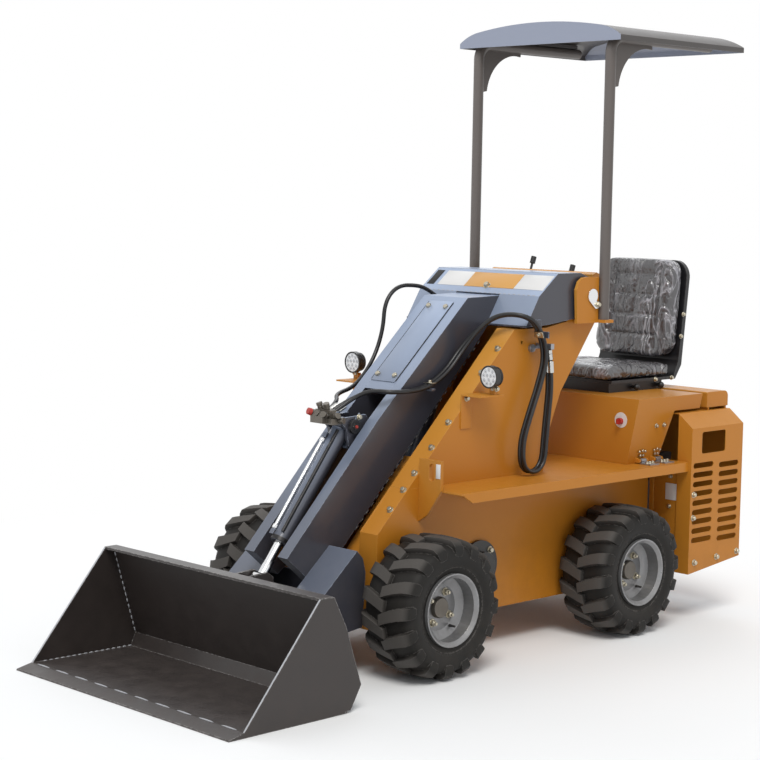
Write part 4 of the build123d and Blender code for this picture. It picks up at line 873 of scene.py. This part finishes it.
head_plate("head_plate_left", 310, 160.5, "plate_white")
head_plate("head_plate_middle", 160, -100, "plate_orange")
head_plate("head_plate_right", -100.5, -245, "plate_white")
head_plate("head_notch", -266, -304, "seal_black")
bm = bmesh.new()
add_bolt(bm, on_head(18, 42), head_slope, 0.020)
finish_piece("head_diamond_bolt", bm, "bolt_zinc", "boom")
bm = bmesh.new()
add_rect(bm, standing(at(381, 65, 722), (0, -1, 0)), 0.026, 0.011, 0.0012, 0.0004)
finish_piece("blank_plates", bm, "plate_white", "chassis")
print("plates ready")

# %% [markdown]
# ## Welds and bright edges
# Short beads run along the seams, and the bucket's plates have rubbed bright at their edges.

# %% Weld beads
def add_bead(bm, start, end, radius, count):
    """A row of short flattened beads between two places, in millimetres."""
    first, last = at(*start), at(*end)
    way = last - first
    flat = Matrix.Diagonal((radius, radius, way.length / count * 0.34, 1))
    for index in range(count):
        middle = first.lerp(last, (index + 0.5) / count)
        bmesh.ops.create_uvsphere(bm, u_segments=8, v_segments=6, radius=1.0,
                                  matrix=standing(middle, way) @ flat)


bm = bmesh.new()
add_bead(bm, (-300, 664, 1329), (300, 664, 1329), 0.0022, 24)
finish_piece("head_weld", bm, "weld_light", "boom", slot="boom_blue")
bm = bmesh.new()
for side in (1, -1):
    add_bead(bm, (side * 115, -90, 487), (side * 115, 560, 1158), 0.0026, 26)
finish_piece("arm_stitch_welds", bm, "bolt_black", "boom")
bm = bmesh.new()
add_bead(bm, (-570, -1000, 19), (570, -1000, 19), 0.0030, 10)
for side in (1, -1):
    add_bead(bm, (side * 580, -960, 17), (side * 580, -560, 15), 0.0030, 16)
    add_bead(bm, (side * 580, -548, 64), (side * 580, -644, 380), 0.0028, 14)
finish_piece("bucket_welds", bm, "weld_light", "bucket")
bm = bmesh.new()
for side in (1, -1):
    a, b = at(side * 585, -1003, 13.5), at(side * 585, -684, 397)
    way = b - a
    middle = standing((a + b) / 2, (0, -way.z, way.y), way)
    add_rect(bm, middle, way.length / 2, 0.0034, 0.0006, 0.0)
finish_piece("bucket_bright_edges", bm, "weld_light", "bucket")
print("welds ready")

# %% [markdown]
# ## Seat
# The seat's cushion and back are padded vinyl, still under the clear film they were delivered
# in. Both start as the CAD solid's form, a little smaller. The stitched channels are pressed
# in and held, and air pressure in a cloth simulation puffs up the panels between them.

# %% Vinyl under a crinkled film, with painted glints
film, film_in, film_out = new_group("crinkled_film", [("Scale", "F"), ("Strength", "F")],
                                    [("Normal", "V"), ("Painted Glint", "F")])
film_place = add_node(film, "ShaderNodeMapping")
film.links.new(add_node(film, "ShaderNodeTexCoord").outputs["Object"], film_place.inputs["Vector"])
set_inputs(film_place, Scale=(1.0, 0.8, 0.42), Rotation=(0.0, 0.25, 0.0))
film_spot = film_place.outputs[0]
film_folds = noise_node(film, film_spot, film_in.outputs["Scale"], 3.0, 0.45, 1.6)
film_centred = math_node(film, "ABSOLUTE", math_node(film, "SUBTRACT", film_folds, 0.5))
film_ridge = math_node(film, "SUBTRACT", 1.0, remap(film, film_centred, 0.0, 0.11))
film_small = noise_node(film, film_spot, 70.0, 3.0, 0.5, 2.0)
film_total = math_node(film, "ADD", film_ridge, math_node(film, "MULTIPLY", film_small, 0.5))
film_bump = bump_node(film, film_in.outputs["Strength"], film_total, 0.006)
film.links.new(film_bump.outputs["Normal"], film_out.inputs["Normal"])
# Painted glint: thin bright streaks along the film's ridges, in patches, painted into the colour as
# reflections.
painted_glint_patches = remap(film, noise_node(film, film_spot, 7.0, 2.0), 0.42, 0.62)
painted_glint_lines = math_node(film, "POWER", film_ridge, 3.0)
film.links.new(math_node(film, "MULTIPLY", painted_glint_lines, painted_glint_patches), film_out.inputs["Painted Glint"])


def make_vinyl(name):
    material = make_finish(name, (0.016, 0.014, 0.019), 0.42, dust=0.05, wear=0.0, scale=700, strength=0.2)
    tree = material.node_tree
    shader = tree.nodes["Principled BSDF"]
    film_layer = add_node(tree, "ShaderNodeGroup", node_tree=film)
    set_inputs(film_layer, Scale=15.0, Strength=0.9)
    tree.links.new(film_layer.outputs["Normal"], shader.inputs["Coat Normal"])
    set_inputs(shader, Coat_Weight=1.0, Coat_Roughness=0.10, Coat_IOR=1.9)
    under = shader.inputs["Base Color"].links[0].from_socket
    # The painted glint lightens the vinyl towards pale grey, a painted reflection of the film.
    painted_glint = math_node(tree, "MULTIPLY", film_layer.outputs["Painted Glint"], 0.85, clamp=True)
    tree.links.new(mix_colour(tree, painted_glint, under, (0.50, 0.49, 0.54, 1)), shader.inputs["Base Color"])
    return material


finishes["seat_vinyl"] = make_vinyl("seat_vinyl")
print("vinyl ready")

# %% Cushion and back
PAD_VOXEL = 0.0055
PUFF_FRAMES = 20
CLOTH = dict(quality=6, mass=0.3, tension_stiffness=12, compression_stiffness=8, bending_stiffness=0.4,
             use_pressure=True, vertex_group_mass="stitches")


def puff(name, node_name, body, shrink, channels, hollow, cap, pressure):
    """Replace a CAD pad by a simulated one. channels(place, normal) takes a place in millimetres and
    gives how deep the stitched channel is there, from 0 to 1, and how firmly the cloth is held."""
    pad_mesh = frame["nodes"][node_name].data.copy()
    pad_mesh.name = name
    pad = new_object(name, pad_mesh)
    bm = bmesh.new()
    bm.from_mesh(pad_mesh)
    bmesh.ops.remove_doubles(bm, verts=bm.verts, dist=1e-5)
    low = Vector([min(v.co[i] for v in bm.verts) for i in range(3)])
    high = Vector([max(v.co[i] for v in bm.verts) for i in range(3)])
    middle = (low + high) / 2
    for vert in bm.verts:
        vert.co = middle + Vector([(vert.co[i] - middle[i]) * shrink[i] for i in range(3)])
    bm.to_mesh(pad_mesh)
    bm.free()
    apply_modifier(pad, "REMESH", mode="VOXEL", voxel_size=PAD_VOXEL)
    mesh = pad.data
    held = pad.vertex_groups.new(name="stitches")
    normals = [v.normal.copy() for v in mesh.vertices]
    for vert, normal in zip(mesh.vertices, normals):
        place_mm = (vert.co.x * 1000, (vert.co.y - FRONT_AXLE_Y) * 1000, vert.co.z * 1000)
        depth, hold = channels(place_mm, normal)
        vert.co -= normal * depth * hollow
        held.add([vert.index], hold, "REPLACE")
    start = [v.co.copy() for v in mesh.vertices]
    cloth = pad.modifiers.new("cloth", "CLOTH")
    for key, value in CLOTH.items():
        setattr(cloth.settings, key, value)
    cloth.settings.uniform_pressure_force = pressure
    cloth.settings.effector_weights.gravity = 0
    cloth.collision_settings.use_collision = False
    scene.frame_end = PUFF_FRAMES
    for number in range(1, PUFF_FRAMES + 1):
        scene.frame_set(number)
    shaped = pad.evaluated_get(bpy.context.evaluated_depsgraph_get()).to_mesh()
    puffed = [v.co.copy() for v in shaped.vertices]
    pad.modifiers.remove(cloth)
    scene.frame_set(1)
    for vert, first, last in zip(mesh.vertices, start, puffed):
        shift = last - first
        if shift.length > cap:
            shift *= cap / shift.length
        vert.co = first + shift
    apply_modifier(pad, "SMOOTH", factor=0.5, iterations=3)
    apply_modifier(pad, "SUBSURF", levels=1, render_levels=1)
    for vert in pad.data.vertices:
        vert.co = Vector([min(max(vert.co[i], low[i] - 0.004), high[i] + 0.004) for i in range(3)])
    pad.data.materials.clear()
    pad.data.materials.append(finishes["seat_vinyl"])
    pad.data.polygons.foreach_set("use_smooth", [True] * len(pad.data.polygons))
    pad.vertex_groups.clear()
    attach(pad, body)
    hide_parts(node_name)
    return pad


def apply_modifier(piece, kind, **settings):
    modifier = piece.modifiers.new(kind.lower(), kind)
    for key, value in settings.items():
        setattr(modifier, key, value)
    view = piece.evaluated_get(bpy.context.evaluated_depsgraph_get())
    finished = bpy.data.meshes.new_from_object(view)
    piece.modifiers.clear()
    old = piece.data
    piece.data = finished
    bpy.data.meshes.remove(old)


def near_line(value, line, half_width):
    return max(0.0, 1.0 - abs(value - line) / half_width)


def cushion_channels(place_mm, normal):
    x, y, _ = place_mm
    depth = 0.0
    if normal.z > 0.4:
        if 1262 < y < 1650:
            depth = max(near_line(abs(x), 128, 9), depth)
        if abs(x) < 128:
            for line, share in ((1290, 1.0), (1420, 0.8), (1530, 0.8)):
                depth = max(depth, share * near_line(y, line, 9))
    return depth, (1.0 if depth > 0.35 or normal.z < -0.8 else 0.0)


def back_channels(place_mm, normal):
    x, _, z = place_mm
    depth = 0.0
    if normal.y < -0.4:
        if 1075 < z < 1430:
            depth = near_line(abs(x), 118, 9)
        if abs(x) < 118:
            for height in (1130, 1215, 1300, 1385):
                depth = max(depth, 0.9 * near_line(z, height, 9))
            depth = max(depth, 0.7 * near_line(x, 0, 7) if z < 1385 else 0.0)
    return depth, (1.0 if depth > 0.35 or normal.y > 0.8 else 0.0)


cushion = puff("puffed_cushion", "seat_cushion", "seat_box", (0.955, 0.955, 0.86), cushion_channels,
               hollow=0.010, cap=0.016, pressure=4.0)
back = puff("puffed_back", "seat_back", "seat_box", (0.955, 0.80, 0.965), back_channels,
            hollow=0.010, cap=0.018, pressure=4.0)
bm = bmesh.new()
for y, z in ((1702, 1222), (1689, 1130), (1634, 959), (1524, 958)):
    add_bolt(bm, at(212, y, z), (1, 0, 0), 0.013)
finish_piece("seat_shell_bolts", bm, "bolt_zinc", "seat_box")
bm = bmesh.new()
for y in (1405, 1568):
    add_disc(bm, standing(at(190, y, 932), (1, 0, 0)), 0.006, 0.006, -0.04, 0.012, 12)
    bmesh.ops.create_uvsphere(bm, u_segments=20, v_segments=12, radius=0.013,
                              matrix=Matrix.Translation(at(210, y, 932)))
finish_piece("seat_knobs", bm, "lever_black", "seat_box")
print("cushion faces:", len(cushion.data.polygons), "back faces:", len(back.data.polygons))

# %% [markdown]
# ## The engine bay's front panels
# Between the tub's wall and the hood's side the bay is closed towards the wheel by a folded
# sheet panel, with two bolts and a blank plate.

# %% Bay panels
BAY_LOW, BAY_HIGH, BAY_Y, FLANGE_X, SHEET_THICKNESS = 215, 648, 1412, (290, 312), 0.003


def add_sheet(bm, x_from, x_to, matrix, thickness):
    outline = [(x_from, BAY_LOW), (x_to, BAY_LOW), (x_to, BAY_HIGH), (x_from, BAY_HIGH)]
    add_plate(bm, [(x / 1000, z / 1000) for x, z in outline], matrix, thickness, 0.0008)


panels, plates, bolts = bmesh.new(), bmesh.new(), bmesh.new()
for side in (1, -1):
    upright = Matrix(((side, 0, 0, 0), (0, 0, -side, 0), (0, 1, 0, 0), (0, 0, 0, 1)))
    panel = Matrix.Translation(at(0, BAY_Y, 0)) @ upright
    add_sheet(panels, FLANGE_X[0], 498, panel, SHEET_THICKNESS)
    add_sheet(panels, *FLANGE_X, panel @ Matrix.Translation((0, 0, 0.0032)), 0.0025)
    plate_at = standing(at(side * 407, 1408.5, 522), (0, -1, 0))
    add_rect(plates, plate_at, 0.034, 0.036, 0.0014, 0.0004)
    for x, z in ((391, 461), (394, 585)):
        add_bolt(bolts, at(side * x, 1408.5, z), (0, -1, 0), 0.013)
finish_piece("bay_panels", panels, "body_yellow", "chassis")
finish_piece("bay_plates", plates, "plate_white", "chassis")
finish_piece("bay_bolts", bolts, "bolt_zinc", "chassis")
print("bay panels ready")

# %% Floor
FADE_START, FADE_END = 1.5, 3.2
bm = bmesh.new()
bmesh.ops.create_grid(bm, x_segments=1, y_segments=1, size=40)
bmesh.ops.translate(bm, verts=bm.verts, vec=(0, 0, -0.0005))
floor_mesh = new_mesh("floor", bm)
floor = new_object("floor", floor_mesh)
floor_finish = bpy.data.materials.new("floor_pale")
floor_finish.use_nodes = True
floor_tree = floor_finish.node_tree
floor_shader = floor_tree.nodes["Principled BSDF"]
set_inputs(floor_shader, Base_Color=(0.90, 0.90, 0.90, 1), Roughness=0.9)
far_out = add_node(floor_tree, "ShaderNodeVectorMath", operation="LENGTH")
feed(floor_tree, far_out.inputs[0], add_node(floor_tree, "ShaderNodeTexCoord").outputs["Object"])
fade = remap(floor_tree, far_out.outputs["Value"], FADE_START, FADE_END)
floor_white = add_node(floor_tree, "ShaderNodeEmission")
set_inputs(floor_white, Color=(1, 1, 1, 1), Strength=1.0)
white_share = math_node(floor_tree, "MULTIPLY", seen_directly(floor_tree), fade, clamp=True)
join_shaders(floor_tree, white_share, floor_shader, floor_white, floor_tree.nodes["Material Output"])
floor_mesh.materials.append(floor_finish)
print("floor ready")

# %% [markdown]
# ## Close
# A box is given as its two corners, rounded to five places. The visual model has to stay inside
# the CAD part's box.

# %% Sizes and finish
def corners(bounds):
    low, high = bounds
    return [[round(v, 5) for v in low], [round(v, 5) for v in high]]
